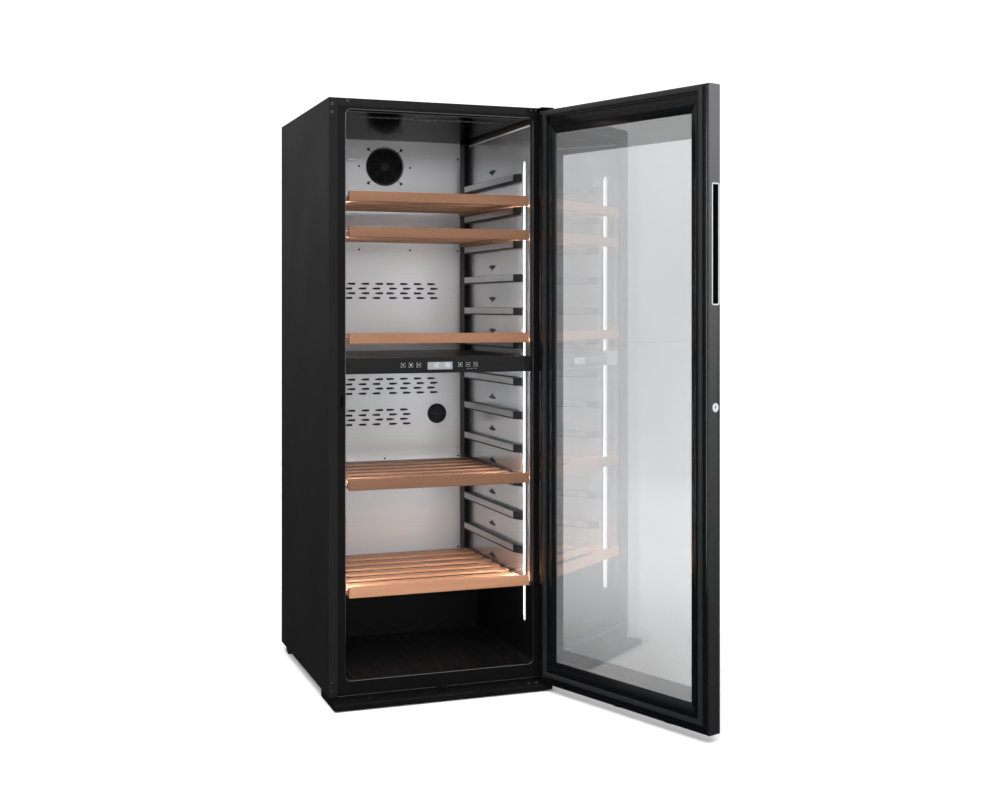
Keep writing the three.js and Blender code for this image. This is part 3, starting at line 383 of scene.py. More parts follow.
class Builder:
    """Collects closed shapes, in millimetres, into one piece."""

    def __init__(self):
        self.mesh = bmesh.new()

    def take(self, part, look=0, turn=None):
        """Adds a finished shape. Look is the index of its material."""
        for face in part.faces:
            face.material_index = look
        if turn is not None:
            bmesh.ops.transform(part, matrix=turn, verts=part.verts)
        data = bpy.data.meshes.new("part")
        part.to_mesh(data)
        part.free()
        self.mesh.from_mesh(data)
        bpy.data.meshes.remove(data)
        return self

    def solid(self, verts, faces, look=0, bevel=0.0, segments=2, turn=None, angle=25):
        """A shape from corners and faces, bevelled where its edges are sharper than the angle."""
        part = bmesh.new()
        made = [part.verts.new(v) for v in verts]
        for face in faces:
            part.faces.new([made[i] for i in face])
        bmesh.ops.recalc_face_normals(part, faces=part.faces)
        if bevel:
            sharp = [e for e in part.edges if e.is_manifold and e.calc_face_angle(0) > math.radians(angle)]
            bmesh.ops.bevel(part, geom=sharp, offset=bevel, segments=segments, profile=0.6, affect="EDGES")
        return self.take(part, look, turn)

    def box(self, x0, x1, y0, y1, z0, z1, bevel=0.0, look=0, segments=2, turn=None):
        verts = [(x, y, z) for x in (x0, x1) for y in (y0, y1) for z in (z0, z1)]
        faces = [(0, 1, 3, 2), (4, 6, 7, 5), (0, 4, 5, 1), (2, 3, 7, 6), (0, 2, 6, 4), (1, 5, 7, 3)]
        return self.solid(verts, faces, look, bevel, segments, turn)

    def prism(self, outline, axis, a, b, bevel=0.0, segments=2, angle=25):
        """An outline pushed along an axis. The outline's pairs of numbers are the other two axes in order."""

        def point(p, d):
            return {"x": (d, p[0], p[1]), "y": (p[0], d, p[1]), "z": (p[0], p[1], d)}[axis]

        ends = ([point(p, d) for p in outline] for d in (a, b))
        return self.solid(*between(*ends), bevel=bevel, segments=segments, angle=angle)

    def lathe(self, profile, at, axis="z", sides=32, look=0):
        """A turned shape. Profile points are (radius, distance along the axis)."""
        aim = {
            "x": Matrix.Rotation(math.radians(90), 4, "Y"),
            "y": Matrix.Rotation(math.radians(-90), 4, "X"),
            "z": Matrix.Identity(4),
        }[axis]
        part = bmesh.new()
        rings = []
        for radius, along in profile:
            if radius < 1e-6:
                rings.append([part.verts.new((0, 0, along))])
            else:
                rings.append([part.verts.new((radius * c, radius * s, along)) for c, s in circle(sides)])
        for one, two in zip(rings, rings[1:]):
            for i in range(sides):
                j = (i + 1) % sides
                corners = [one[i % len(one)], one[j % len(one)], two[j % len(two)], two[i % len(two)]]
                unique = list(dict.fromkeys(corners))
                if len(unique) > 2:
                    part.faces.new(unique)
        bmesh.ops.recalc_face_normals(part, faces=part.faces)
        return self.take(part, look, Matrix.Translation(Vector(at)) @ aim)

    def sweep(self, path, section, closed=True, look=0):
        """Places a closed section at each station of a path. A station maps a section point to a place."""
        part = bmesh.new()
        rings = [[part.verts.new(station(p)) for p in section] for station in path]
        n = len(section)
        pairs = list(zip(rings, rings[1:])) + ([(rings[-1], rings[0])] if closed else [])
        for one, two in pairs:
            for i in range(n):
                part.faces.new((one[i], one[(i + 1) % n], two[(i + 1) % n], two[i]))
        if not closed:
            part.faces.new(rings[0])
            part.faces.new(rings[-1])
        bmesh.ops.recalc_face_normals(part, faces=part.faces)
        return self.take(part, look)

    def tube(self, points, radius, sides=8, closed=False):
        """A round wire through points."""
        places = [Vector(p) for p in points]
        stations = []
        for i, p in enumerate(places):
            before = places[i - 1] if i or closed else p
            after = places[(i + 1) % len(places)] if i < len(places) - 1 or closed else p
            heading = (after - before).normalized()
            side = heading.cross(Vector((0, 1, 0)))
            if side.length < 0.1:
                side = heading.cross(Vector((0, 0, 1)))
            side.normalize()
            other = heading.cross(side)
            stations.append(lambda q, p=p, s=side, o=other: p + s * q[0] + o * q[1])
        return self.sweep(stations, [(radius * c, radius * s) for c, s in circle(sides)], closed)

    def done(self, name, body, slot, looks, replaces=(), turn=None, smooth=True):
        """Makes the piece, in metres, and hands it to its body."""
        to_metres = Matrix.Scale(MM, 4)
        bmesh.ops.transform(self.mesh, matrix=to_metres if turn is None else to_metres @ turn, verts=self.mesh.verts)
        data = bpy.data.meshes.new(name)
        self.mesh.to_mesh(data)
        self.mesh.free()
        for look in looks if isinstance(looks, (list, tuple)) else [looks]:
            data.materials.append(look)
        piece = bpy.data.objects.new(name, data)
        bpy.context.scene.collection.objects.link(piece)
        if smooth:
            data.shade_smooth()
            data.set_sharp_from_angle(angle=SHARP)
        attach(piece, body)
        if replaces:
            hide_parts(*replaces)
        return piece


def corner_stations(a0, a1, b0, b1, r, steps=8):
    """(centre, angle) of each station round a rectangle with round corners."""
    q = math.pi / 2
    centres = [(a1 - r, b1 - r), (a0 + r, b1 - r), (a0 + r, b0 + r), (a1 - r, b0 + r)]
    return [(c, n * q + q * i / steps) for n, c in enumerate(centres) for i in range(steps + 1)]


def rounded(a0, a1, b0, b1, r, steps):
    """Outline of a rectangle with round corners."""
    return [(c[0] + r * math.cos(t), c[1] + r * math.sin(t)) for c, t in corner_stations(a0, a1, b0, b1, r, steps)]


def rectangle_path(x0, x1, z0, z1, r):
    """Stations round an upright rectangle. Section points are (distance outwards, y)."""
    if not r:
        corners = [(x0, z0, -1, -1), (x1, z0, 1, -1), (x1, z1, 1, 1), (x0, z1, -1, 1)]
        return [lambda p, c=c: (c[0] + c[2] * p[0], p[1], c[1] + c[3] * p[0]) for c in corners]
    return [lambda p, c=c, t=t: (c[0] + (r + p[0]) * math.cos(t), p[1], c[1] + (r + p[0]) * math.sin(t))
            for c, t in corner_stations(x0, x1, z0, z1, r)]


def ring_of(loops):
    """Corners and faces of a closed ring through four-cornered loops."""
    pairs = [(4 * k, 4 * (k + 1) % (4 * len(loops))) for k in range(len(loops))]
    faces = [(a + i, a + (i + 1) % 4, b + (i + 1) % 4, b + i) for a, b in pairs for i in range(4)]
    return [v for loop in loops for v in loop], faces


def upright_loop(x0, x1, z0, z1, y):
    return [(x0, y, z0), (x1, y, z0), (x1, y, z1), (x0, y, z1)]


def window_ring(builder, outer, hole, near, far, look=0):
    """Closed rectangular ring between two outlines (x0, x1, z0, z1) and two depths."""
    sides = ((outer, near), (hole, near), (hole, far), (outer, far))
    builder.solid(*ring_of([upright_loop(*outline, y) for outline, y in sides]), look)


def pan_head(r, height):
    """Profile of a domed screw head with a socket."""
    return [(0, 0), (r, 0), (r, height * 0.35), (r * 0.86, height * 0.8), (r * 0.5, height), (r * 0.34, height),
            (r * 0.28, height * 0.45), (0, height * 0.45)]


def front_head(r, height):
    """The same head facing the front."""
    return [(a, -b) for a, b in pan_head(r, height)]


def screws(name, slot, look, head, places, axis="y", sides=20, body="cabinet"):
    """A piece of equal screw heads."""
    builder = Builder()
    for place in places:
        builder.lathe(head, place, axis=axis, sides=sides)
    builder.done(name, body, slot, look)


# ---------- shelves ----------
STRIP_DEPTH = 18  # front strip
DECK = {"bottom": 2.3, "top": 18, "inset": 1.5}  # above the strip's underside, and short of its ends
SIDE_RAIL_WIDTH = 30
BOARD = {"thickness": 6, "width": 44, "front": 30, "rear": 40, "gaps": 6}


def deck_boards(y0, y1):
    """(front, back) of each board of a shelf, from the front strip to the rear edge."""
    first = y0 + STRIP_DEPTH + BOARD["front"]
    pitch = (y1 - BOARD["rear"] - first) / BOARD["gaps"]
    boards = [(y0 + STRIP_DEPTH + 1, first)]
    for n in range(1, BOARD["gaps"] + 1):
        end = first + n * pitch
        boards.append((end - BOARD["width"], end - (2 if n == BOARD["gaps"] else 0)))
    return boards + [(first + BOARD["gaps"] * pitch, y1)]


def shelf(number):
    node = f"shelf_{number}"
    beech_x, beech_y = SHELF_LOOKS[node]
    (x0, y0, z0), (x1, y1, z1) = mm_box(node)
    deck_top = z0 + DECK["top"]
    rail_top = deck_top - BOARD["thickness"]
    half = x1 - DECK["inset"]
    front = Builder()
    front.box(x0, x1, y0, y0 + STRIP_DEPTH, z0, z1, bevel=2.2, segments=4)
    front.done(f"{node}_front_strip", node, "beech", beech_x, replaces=[node])
    rails = Builder()
    for side in (-1, 1):
        a, b = sorted((side * half, side * (half - SIDE_RAIL_WIDTH)))
        rails.box(a, b, y0 + STRIP_DEPTH, y1, z0 + DECK["bottom"], rail_top, bevel=1.2)
    rails.done(f"{node}_side_rails", node, "beech", beech_y)
    boards = deck_boards(y0, y1)
    slats = Builder()
    for a, b in boards:
        slats.box(-half, half, a, b, rail_top, deck_top, bevel=1.6, segments=3)
    slats.done(f"{node}_slats", node, "beech", beech_x)
    screw_x = half - SIDE_RAIL_WIDTH / 2
    places = [(side * screw_x, (a + b) / 2, deck_top - 0.1) for side in (-1, 1) for a, b in boards]
    screws(f"{node}_screws", "chrome", zinc, pan_head(2.6, 0.7), places, axis="z", sides=16, body=node)


for number in range(1, 6):
    shelf(number)

# ---------- cabinet face ----------
liner_front = mm_box("liner_tub")[0][1]
OPENING = (-291.2, 291.2, 72.8, 1728.2)
OPENING_CORNER = 16
trim = Builder()
trim.sweep(rectangle_path(*OPENING, OPENING_CORNER), [(a, liner_front - 0.2 + b) for a, b in circle(8)])
trim.done("opening_trim", "cabinet", "grey_aluminium", trim_metal)

# Plugs in the hinge holes of the side without hinges: a pale washer under a black head.
PLUG_PLACES = [(-331, 1741), (-331, 1717), (-285, 1753), (-331, 46), (-331, 70)]
PLUG_HEAD = [(0, -0.4), (2.9, -0.4), (2.9, -0.6), (2.4, -0.95), (0, -0.95)]
PLUG_WASHER = [(0, 0.1), (4.0, 0.1), (4.0, -0.25), (3.8, -0.4), (0, -0.4)]
plugs = Builder()
for x, z in PLUG_PLACES:
    plugs.lathe(PLUG_HEAD, (x, 0, z), axis="y", sides=20)
    plugs.lathe(PLUG_WASHER, (x, 0, z), axis="y", sides=20, look=1)
plugs.done("hinge_hole_plugs", "cabinet", "black_plastic", [plastic, trim_metal])

bracket_lo, bracket_hi = mm_box("top_hinge_bracket")
screws("hinge_bracket_screws", "satin_black_paint", guard_plastic, front_head(3.6, 2.2),
       [(x, bracket_lo[1] + 43.5, bracket_hi[2] - 5.5) for x in (283, 300)])

# A cup behind the strike plate: its rim, its walls and a closed bottom.
(x0, _, z0), (x1, _, z1) = mm_box("strike_plate")
rim = (x0 - 1.5, x1 + 1.5, z0 - 1.5, z1 + 1.5)
walls = (x0 + 0.5, x1 - 0.5, z0 + 1, z1 - 1)
pocket = Builder()
loops = [upright_loop(*outline, y) for outline, y in ((rim, 3.6), (walls, 3.6), (walls, 14), (rim, 15))]
verts, faces = ring_of(loops)
bottoms = [(8, 9, 10, 11), (12, 13, 14, 15)]
pocket.solid(verts, faces[:8] + bottoms + faces[12:])
pocket.done("strike_pocket", "cabinet", "black_plastic", plastic)

screws("base_plate_screws", "chrome", zinc, pan_head(4.2, 1.2), [(x, -24, 21.4) for x in (292, 268)], axis="z")

# ---------- inside ----------
sheet_y = mm_box("back_sheet_upper")[0][1]
BACK_SCREWS = {  # (distance from the middle, height), on both sides
    "upper_back_screws": [(90, 1632), (262, 1667), (262, 1350), (262, 1030), (90, 1350)],
    "lower_back_screws": [(262, 955), (262, 640), (262, 325), (0, 640)],
}
for name, pairs in BACK_SCREWS.items():
    places = [(side * x, sheet_y, z) for x, z in pairs for side in ((-1, 1) if x else (1,))]
    screws(name, "black_plastic", plastic, front_head(3.4, 1.8), places, sides=18)

fan_z = centre(*mm_box("fan_guard"))[2]
FAN_RADIUS = 65
GUARD_RINGS = {"count": 8, "inner": 15, "pitch": 6.2, "y": 637.4, "dish": 0.5}
ARM_END = 76  # the guard's arms and their screws, measured from the fan's centre
ARM_SCREW = 81
guard = Builder()


def ring_points(r, y, sides):
    return [(r * c, y, fan_z + r * s) for c, s in circle(sides)]


for n in range(GUARD_RINGS["count"]):
    r = GUARD_RINGS["inner"] + n * GUARD_RINGS["pitch"]
    y = GUARD_RINGS["y"] + GUARD_RINGS["dish"] * (r / FAN_RADIUS) ** 2
    guard.tube(ring_points(r, y, 56), 1.15, 6, closed=True)
guard.tube(ring_points(FAN_RADIUS - 1, 638.1, 64), 1.7, 8, closed=True)
guard.lathe([(0, -2.6), (11, -2.6), (13, -1.6), (13, 0), (0, 0)], (0, 638.8, fan_z), axis="y", sides=32)
for quarter in range(4):
    t = math.pi / 4 + quarter * math.pi / 2
    c, s = math.cos(t), math.sin(t)
    guard.tube([(c * r, 638.7, fan_z + s * r) for r in (11, 40, ARM_END)], 1.1, 8)
    guard.lathe(front_head(5.2, 3.0), (c * ARM_SCREW, 639.6, fan_z + s * ARM_SCREW), axis="y", sides=20)
guard.done("fan_guard_rings", "cabinet", "satin_black_paint", guard_plastic, replaces=["fan_guard"])

# The filter's round cap with its grip, and the cartridge behind it.
CAP_RIM = [(0, 0), (34, 0), (34, -2.6), (32.6, -4.4), (30, -5), (29, -3.6), (27.5, -3.6), (26.5, -4.6), (0, -4.6)]
CARTRIDGE = [(0, 0), (24, 0), (24, 15.5), (22, 16.4), (0, 16.4)]
cap_x, _, cap_z = centre(*mm_box("charcoal_filter"))
cap = Builder()
cap.lathe(CAP_RIM, (cap_x, 639.6, cap_z), axis="y", sides=56)
cap.lathe(CARTRIDGE, (cap_x, 639.7, cap_z), axis="y", sides=40)
cap.box(cap_x - 25.5, cap_x + 25.5, 630.2, 635.6, cap_z - 4, cap_z + 4, bevel=1.8, segments=3)
cap.done("charcoal_filter_cap", "charcoal_filter", "black_plastic", gloss, replaces=["charcoal_filter"])

# Racks: a steel strip on the face of each support, which is cut short above the rack's foot.
RACK_PITCH = 103.67
SUPPORT_TOPS = [311 + RACK_PITCH * n for n in range(7)] + [1048 + RACK_PITCH * n for n in range(6)]
RACK_FOOT = 303
WALL_DEPTH = (20, 592)  # front and rear edges of the side sheets
TRAY_RIM = 4.5
for word, side in (("left", -1), ("right", 1)):
    strips = Builder()
    a, b = sorted((side * 270.45, side * 269.95))
    for z in SUPPORT_TOPS:
        strips.box(a, b, 118, WALL_DEPTH[1], max(z - 17.5, RACK_FOOT), z + 1.4, bevel=0.15, segments=1)
    strips.done(f"rack_strips_{word}", "cabinet", "brushed_steel", strip_steel)
    # A pale rim along the top of each side sheet: painted highlight on its edge.
    rim = Builder()
    a, b = sorted((side * 288.4, side * 286.6))
    rim.box(a, b, *WALL_DEPTH, 1706.5, 1710.5, bevel=0.6)
    rim.done(f"side_sheet_rim_{word}", "cabinet", "brushed_steel", highlight_trim)
    fold = Builder()
    wall, ridge = side * 288.45, side * 288.1
    fold.prism([(wall, 121.8), (ridge, 122.6), (ridge, 123.4), (wall, 124.2)], "z", 322, 1705)
    fold.done(f"side_sheet_fold_{word}", "cabinet", "brushed_steel", steel)
    slot_lo, slot_hi = mm_box(f"led_strip_{word}")
    half_width = (slot_hi[1] - slot_lo[1]) / 2
    face, back = (slot_lo[0], slot_hi[0]) if side > 0 else (slot_hi[0], slot_lo[0])
    tray = Builder()
    outline = rounded(slot_lo[1], slot_hi[1], slot_lo[2], slot_hi[2], half_width - 0.1, 10)
    tray.prism(outline, "x", face + side * 0.8, back, bevel=0.5, angle=60)
    tray.done(f"light_tray_{word}", "cabinet", "led_diffuser", trim_metal, replaces=[f"led_strip_{word}"])
    cover = Builder()
    outline = rounded(slot_lo[1] + TRAY_RIM, slot_hi[1] - TRAY_RIM, slot_lo[2] + TRAY_RIM, slot_hi[2] - TRAY_RIM,
                      half_width - TRAY_RIM - 0.1, 10)
    cover.prism(outline, "x", face, face + side * 2, bevel=0.7, segments=3, angle=60)
    cover.done(f"light_diffuser_{word}", "cabinet", "led_diffuser", led)

# Ceiling grille: a long rim with round ends, and the bars between its slots.
sheet_z = mm_box("ceiling_sheet")[0][2]
GRILLE = {"centre": 214, "radius": 7, "y": 103}
grille = Builder()
grille.sweep([lambda p, c=c, t=t: (c + (GRILLE["radius"] + p[0]) * math.cos(t),
                                   GRILLE["y"] + (GRILLE["radius"] + p[0]) * math.sin(t), sheet_z - p[1])
              for c, start in ((GRILLE["centre"], -math.pi / 2), (-GRILLE["centre"], math.pi / 2))
              for t in (start + math.pi * i / 8 for i in range(9))],
             [(0, -0.05), (0, 0.7), (1.6, 0.7), (1.6, -0.05)])
for n in range(-8, 8):
    grille.box(n * 25 + 10, n * 25 + 15, GRILLE["y"] - 5.5, GRILLE["y"] + 5.5, sheet_z - 0.6, sheet_z - 0.05,
               bevel=0.2, segments=1)
grille.done("ceiling_grille_rim", "cabinet", "brushed_steel", grille_trim)

ribs = Builder()
for x in range(-260, 261, 40):
    ribs.box(x - 5, x + 5, 30, 490, 73.9, 75.4, bevel=0.7)
ribs.done("floor_ribs", "cabinet", "black_plastic", plastic)

# A scalloped plate on the step, one hollow for each bottle.
CRADLE = {"half": 288, "foot": 74.2, "middle": 90, "depth": 9, "pitch": 82}
cradle = Builder()
wave = [(-CRADLE["half"], CRADLE["foot"])]
for x in range(-CRADLE["half"], CRADLE["half"] + 1, 4):
    wave.append((x, CRADLE["middle"] + CRADLE["depth"] * math.cos(x / CRADLE["pitch"] * 2 * math.pi)))
wave.append((CRADLE["half"], CRADLE["foot"]))
cradle.prism(wave, "y", 508.6, 511.8)
cradle.done("step_cradle", "cabinet", "black_plastic", plastic)

# ---------- control bar ----------
face_y = mm_box("control_bar")[0][1]
window_lo, window_hi = mm_box("display_window")
window_x, _, window_z = centre(window_lo, window_hi)
bezel_y = min(face_y, window_lo[1])
bezel = Builder()
window_ring(bezel, (window_lo[0] - 0.3, window_hi[0] + 0.3, window_lo[2] - 0.3, window_hi[2] + 0.3),
            (window_lo[0] + 0.4, window_hi[0] - 6.5, window_lo[2] + 0.4, window_hi[2] - 5.5),
            bezel_y - 0.2, bezel_y - 0.04)
bezel.done("display_bezel", "cabinet", "gloss_black", gloss, smooth=False)

SEGMENTS = {"1": "bc", "2": "abged", "8": "abcdefg"}
DIGIT = {"width": 7.5, "height": 14, "stroke": 1.5}


def digit(builder, char, x0):
    """A seven-segment digit on the display."""
    x1, t = x0 + DIGIT["width"], DIGIT["stroke"]
    z0 = window_lo[2] + 7
    z1 = z0 + DIGIT["height"]
    middle = (z0 + z1) / 2
    places = {
        "a": (x0, x1, z1 - t, z1),
        "b": (x1 - t, x1, middle, z1),
        "c": (x1 - t, x1, z0, middle),
        "d": (x0, x1, z0, z0 + t),
        "e": (x0, x0 + t, z0, middle),
        "f": (x0, x0 + t, middle, z1),
        "g": (x0, x1, middle - t / 2, middle + t / 2),
    }
    for key in SEGMENTS[char]:
        a0, a1, b0, b1 = places[key]
        builder.box(a0 + 0.2, a1 - 0.2, window_lo[1] - 0.14, window_lo[1] + 0.02, b0 + 0.2, b1 - 0.2)


digits = Builder()
for char, offset in (("1", -26), ("2", -15), ("1", 8), ("8", 19)):
    digit(digits, char, window_x + offset)
digits.done("display_digits", "cabinet", "display_glass", digit_ink, smooth=False)

icons = Builder()
MARK_Y = (face_y - 0.12, face_y + 0.02)
KEYS = {"star": -116, "lamp": -92, "key": -68, "plus": 61, "minus": 85.5, "slash": 109}
ARM = 3.8  # half the length of the plus and the minus


def stroke(x0, x1, low, high):
    """A printed bar; its heights are measured from the middle of the keys."""
    icons.box(x0, x1, *MARK_Y, window_z + low, window_z + high)


def tilted(x, angle, half_length, half_width):
    turn = Matrix.Translation((x, 0, window_z)) @ Matrix.Rotation(angle, 4, "Y")
    icons.box(-half_length, half_length, *MARK_Y, -half_width, half_width, turn=turn)


def icon_frame(x, half=6.4, gap=1.6, t=0.5):
    """Four corner brackets round a touch key."""
    for sx in (-1, 1):
        for sz in (-1, 1):
            stroke(*sorted((x + sx * half, x + sx * (half - t))), *sorted((sz * half, sz * gap)))
            stroke(*sorted((x + sx * half, x + sx * gap)), *sorted((sz * half, sz * (half - t))))


for x in KEYS.values():
    icon_frame(x)
for n in range(4):
    tilted(KEYS["star"], n * math.pi / 4, 2.6, 0.22)
icons.lathe([(0, 0), (2.1, 0), (2.1, 0.14), (0, 0.14)], (KEYS["lamp"], MARK_Y[0], window_z + 0.8), axis="y", sides=20)
stroke(KEYS["lamp"] - 1, KEYS["lamp"] + 1, -2.8, -1.3)
stroke(KEYS["key"] - 3.5, KEYS["key"] + 3.5, -0.4, 0.4)
stroke(KEYS["key"] - 3.5, KEYS["key"] - 2.6, -2.2, 2.2)
stroke(KEYS["plus"] - ARM, KEYS["plus"] + ARM, -0.5, 0.5)
stroke(KEYS["plus"] - 0.5, KEYS["plus"] + 0.5, -ARM, ARM)
stroke(KEYS["minus"] - ARM, KEYS["minus"] + ARM, -0.5, 0.5)
tilted(KEYS["slash"], math.radians(40), 4.2, 0.5)
for x in (85.5, 97, 109):
    stroke(x - 3, x + 3, -12.6, -12)
icons.done("touch_key_marks", "cabinet", "display_glass", ink_white, smooth=False)

# ---------- door ----------
glass_lo, glass_hi = shut_box("outer_glass")
pane_lo, pane_hi = shut_box("inner_glass")

# The printed border: black towards the room, grey towards the cabinet, where the grey glows as painted light.
BORDER_HOLE = (-272, 272, 128, 1610)
border = Builder()
outer = (glass_lo[0] + 4, glass_hi[0] - 4, glass_lo[2] + 3, glass_hi[2] - 3)
window_ring(border, outer, BORDER_HOLE, glass_hi[1] + 0.05, glass_hi[1] + 0.12, 0)
window_ring(border, outer, BORDER_HOLE, glass_hi[1] + 0.13, glass_hi[1] + 0.2, 1)
border.done("glass_border", "door", "gloss_black", [border_ink, glowing_grey_film], turn=DOOR_MM)

# The spacer between the panes is the same glowing grey: painted light.
spacer = Builder()
outer = (pane_lo[0] + 0.2, pane_hi[0] - 0.2, pane_lo[2] + 0.4, pane_hi[2] - 0.4)
window_ring(spacer, outer, (-271, 271, 95, 1674), glass_hi[1] + 0.4, pane_lo[1] - 0.2)
spacer.done("glass_spacer", "door", "grey_aluminium", glowing_grey_film, turn=DOOR_MM)

# The frame's lip stands round the panes, at these distances from the door's middle and heights.
LIP = 270
Z_LIP0, Z_LIP1 = 96, 1673
MITRE_BREAK = 50.3  # further out than this, a mitre bends to meet the neighbour's outer corner
door_edge = shut_box("door_stile_hinge")[1][0]
door_bottom = shut_box("door_rail_bottom")[0][2]
reach = {
    "hinge": door_edge - LIP,
    "handle": door_edge - 5.0 - LIP,
    "top": shut_box("door_rail_top")[1][2] - Z_LIP1,
    "bottom": Z_LIP0 - door_bottom,
}


def frame_section(out):
    """From the outer edge inwards over the inside face, down the sloped lip and back along the panes.

    Points are (distance outwards from the lip's inner edge, y).
    """
    return [
        (out, -45.5), (out, -9.5), (out - 1.0, -8.0), (out - 2.4, -7.5),
        (50.2, -7.5), (49.5, -8.0), (49.5, -12), (34.5, -12), (34.5, -8.0), (33.8, -7.5),
        (31.0, -7.5), (30.4, -9.2), (28.6, -9.2), (28.0, -8.0), (24.2, -8.0), (23.6, -9.4), (22.4, -9.4),
        (21.6, -8.8), (18.5, -9.2), (4.0, -12.9), (1.4, -14.0), (0.4, -15.4), (8.3, -15.7), (8.3, -45.5),
    ]


def mitre(base, sign, mine, neighbour):
    """Where a member ends, as a function of the distance outwards."""
    bend = (reach[neighbour] - MITRE_BREAK) / (reach[mine] - MITRE_BREAK)
    return lambda d: base + sign * (d if d <= MITRE_BREAK else MITRE_BREAK + (d - MITRE_BREAK) * bend)


def member(word, low, high, place):
    """One side of the door frame, from one mitred end to the other."""
    section = frame_section(reach[word])
    return Builder().solid(*between(*([place(d, y, end(d)) for d, y in section] for end in (low, high))))


def upright(word, side):
    return member(word, mitre(Z_LIP0, -1, word, "bottom"), mitre(Z_LIP1, 1, word, "top"),
                  lambda d, y, z: (side * (LIP + d), y, z))


def level(word, base, sign):
    return member(word, mitre(-LIP, -1, word, "handle"), mitre(LIP, 1, word, "hinge"),
                  lambda d, y, x: (x, y, base + sign * d))


def carve(piece, cutters):
    """Cuts closed builders, already in place, out of a piece."""
    for cutter in cutters:
        data = bpy.data.meshes.new("cutter")
        bmesh.ops.transform(cutter.mesh, matrix=Matrix.Scale(MM, 4) @ DOOR_MM, verts=cutter.mesh.verts)
        cutter.mesh.to_mesh(data)
        cutter.mesh.free()
        tool = bpy.data.objects.new("cutter", data)
        bpy.context.scene.collection.objects.link(tool)
        cut = piece.modifiers.new("cut", "BOOLEAN")
        cut.operation = "DIFFERENCE"
        cut.solver = "EXACT"
        cut.object = tool
        bpy.context.view_layer.update()
        fresh = bpy.data.meshes.new_from_object(piece.evaluated_get(bpy.context.evaluated_depsgraph_get()))
        piece.modifiers.clear()
        piece.data = fresh
        bpy.data.objects.remove(tool)
    piece.data.set_sharp_from_angle(angle=SHARP)
    return piece


door_look = {"body": "door", "slot": "black_plastic", "looks": frame_plastic, "turn": DOOR_MM}
upright("hinge", 1).done("frame_hinge_side", replaces=["door_stile_hinge"], **door_look)
handle_side = upright("handle", -1).done("frame_handle_side", replaces=["door_stile_handle"], **door_look)
level("top", Z_LIP1, 1).done("frame_top", replaces=["door_rail_top"], **door_look)
level("bottom", Z_LIP0, -1).done("frame_bottom", replaces=["door_rail_bottom"], **door_look)

grip_lo, grip_hi = shut_box("handle_surround")
lock_lo, lock_hi = shut_box("lock_barrel")
_, lock_y, lock_z = centre(lock_lo, lock_hi)
recess = Builder()
recess.box(-345, -313, grip_lo[1] + 4, grip_hi[1] - 4, grip_lo[2] + 4, grip_hi[2] - 4)
bore = Builder()
bore.lathe([(0, 0), (9.4, 0), (9.4, 45), (0, 45)], (-345, lock_y, lock_z), axis="x", sides=32)
cam_room = Builder()
cam_room.box(-303.6, -298.4, lock_y - 9, 2, lock_z - 46, lock_z + 9)
carve(handle_side, [recess, bore, cam_room])

gasket_lo, gasket_hi = shut_box("door_gasket")
GASKET_HALF = 7
# Outer half of the gasket's section, a foot in the frame's groove and two bellows, from the gasket's middle line.
BELLOWS = [
    (4.0, -11.5), (4.6, -9.8), (6.4, -9.0), (6.9, -7.4), (5.8, -6.6), (4.6, -6.2), (5.2, -5.2), (6.6, -4.4),
    (6.8, -2.6), (6.0, -1.2), (4.6, -0.6),
]
section = BELLOWS + [(-d, y) for d, y in reversed(BELLOWS)]
gasket = Builder()
gasket.sweep(rectangle_path(gasket_lo[0], gasket_hi[0], gasket_lo[2], gasket_hi[2], 0),
             [(d - GASKET_HALF, y) for d, y in section])
gasket.done("gasket_bellows", "door", "rubber", rubber, replaces=["door_gasket"], turn=DOOR_MM)

# The handle's bright edge and the dark throat behind it. Sections are (distance outwards, x).
HANDLE_CORNER = 7
face_x = grip_lo[0]
stations = [lambda p, c=c, t=t: (p[1], c[0] + (HANDLE_CORNER + p[0]) * math.cos(t),
                                 c[1] + (HANDLE_CORNER + p[0]) * math.sin(t))
            for c, t in corner_stations(grip_lo[1], grip_hi[1], grip_lo[2], grip_hi[2], HANDLE_CORNER)]
surround = Builder()
surround.sweep(stations, [(d, face_x + x) for d, x in (
    (0, 0.9), (-0.4, 0.3), (-1.2, 0), (-2.6, 0), (-3.4, 0.4), (-4.0, 1.4), (-4.0, 1.7), (0, 1.7))])
surround.sweep(stations, [(d, face_x + x) for d, x in ((-4.1, 1.8), (-5.2, 4), (-5.4, 14), (-4.3, 14))], look=1)
surround.done("handle_trim", "door", "chrome", [nickel, plastic], replaces=["handle_surround"], turn=DOOR_MM)

BARREL = [(0, 0.9), (3.4, 0.9), (4.2, 0.35), (9.8, 0.0), (11.3, 0.25), (12, 0.9), (12, 1.3), (8.4, 1.4), (8.4, 36),
          (0, 36)]
barrel = Builder()
lock_face = lock_lo[0]
barrel.lathe(BARREL, (lock_face, lock_y, lock_z), axis="x", sides=48)
barrel.box(lock_face - 0.02, lock_face + 1.2, lock_y - 0.7, lock_y + 0.7, lock_z - 3.4, lock_z + 3.4, look=1)
barrel.done("lock_face", "lock_core", "chrome", [nickel, plastic], replaces=["lock_barrel"], turn=DOOR_MM)

STOPS = ((12, 22), (-188, 28))  # (middle, length)
stops = Builder()
for x, length in STOPS:
    stops.box(x - length / 2, x + length / 2, -27, -10, door_bottom - 1.5, door_bottom + 0.6, bevel=0.6)
    stops.box(x - length / 5, x + length / 5, -9.5, -7.8, door_bottom + 0.2, door_bottom + 6, bevel=0.5)
stops.done("door_bottom_stops", "door", "black_plastic", plastic, turn=DOOR_MM)

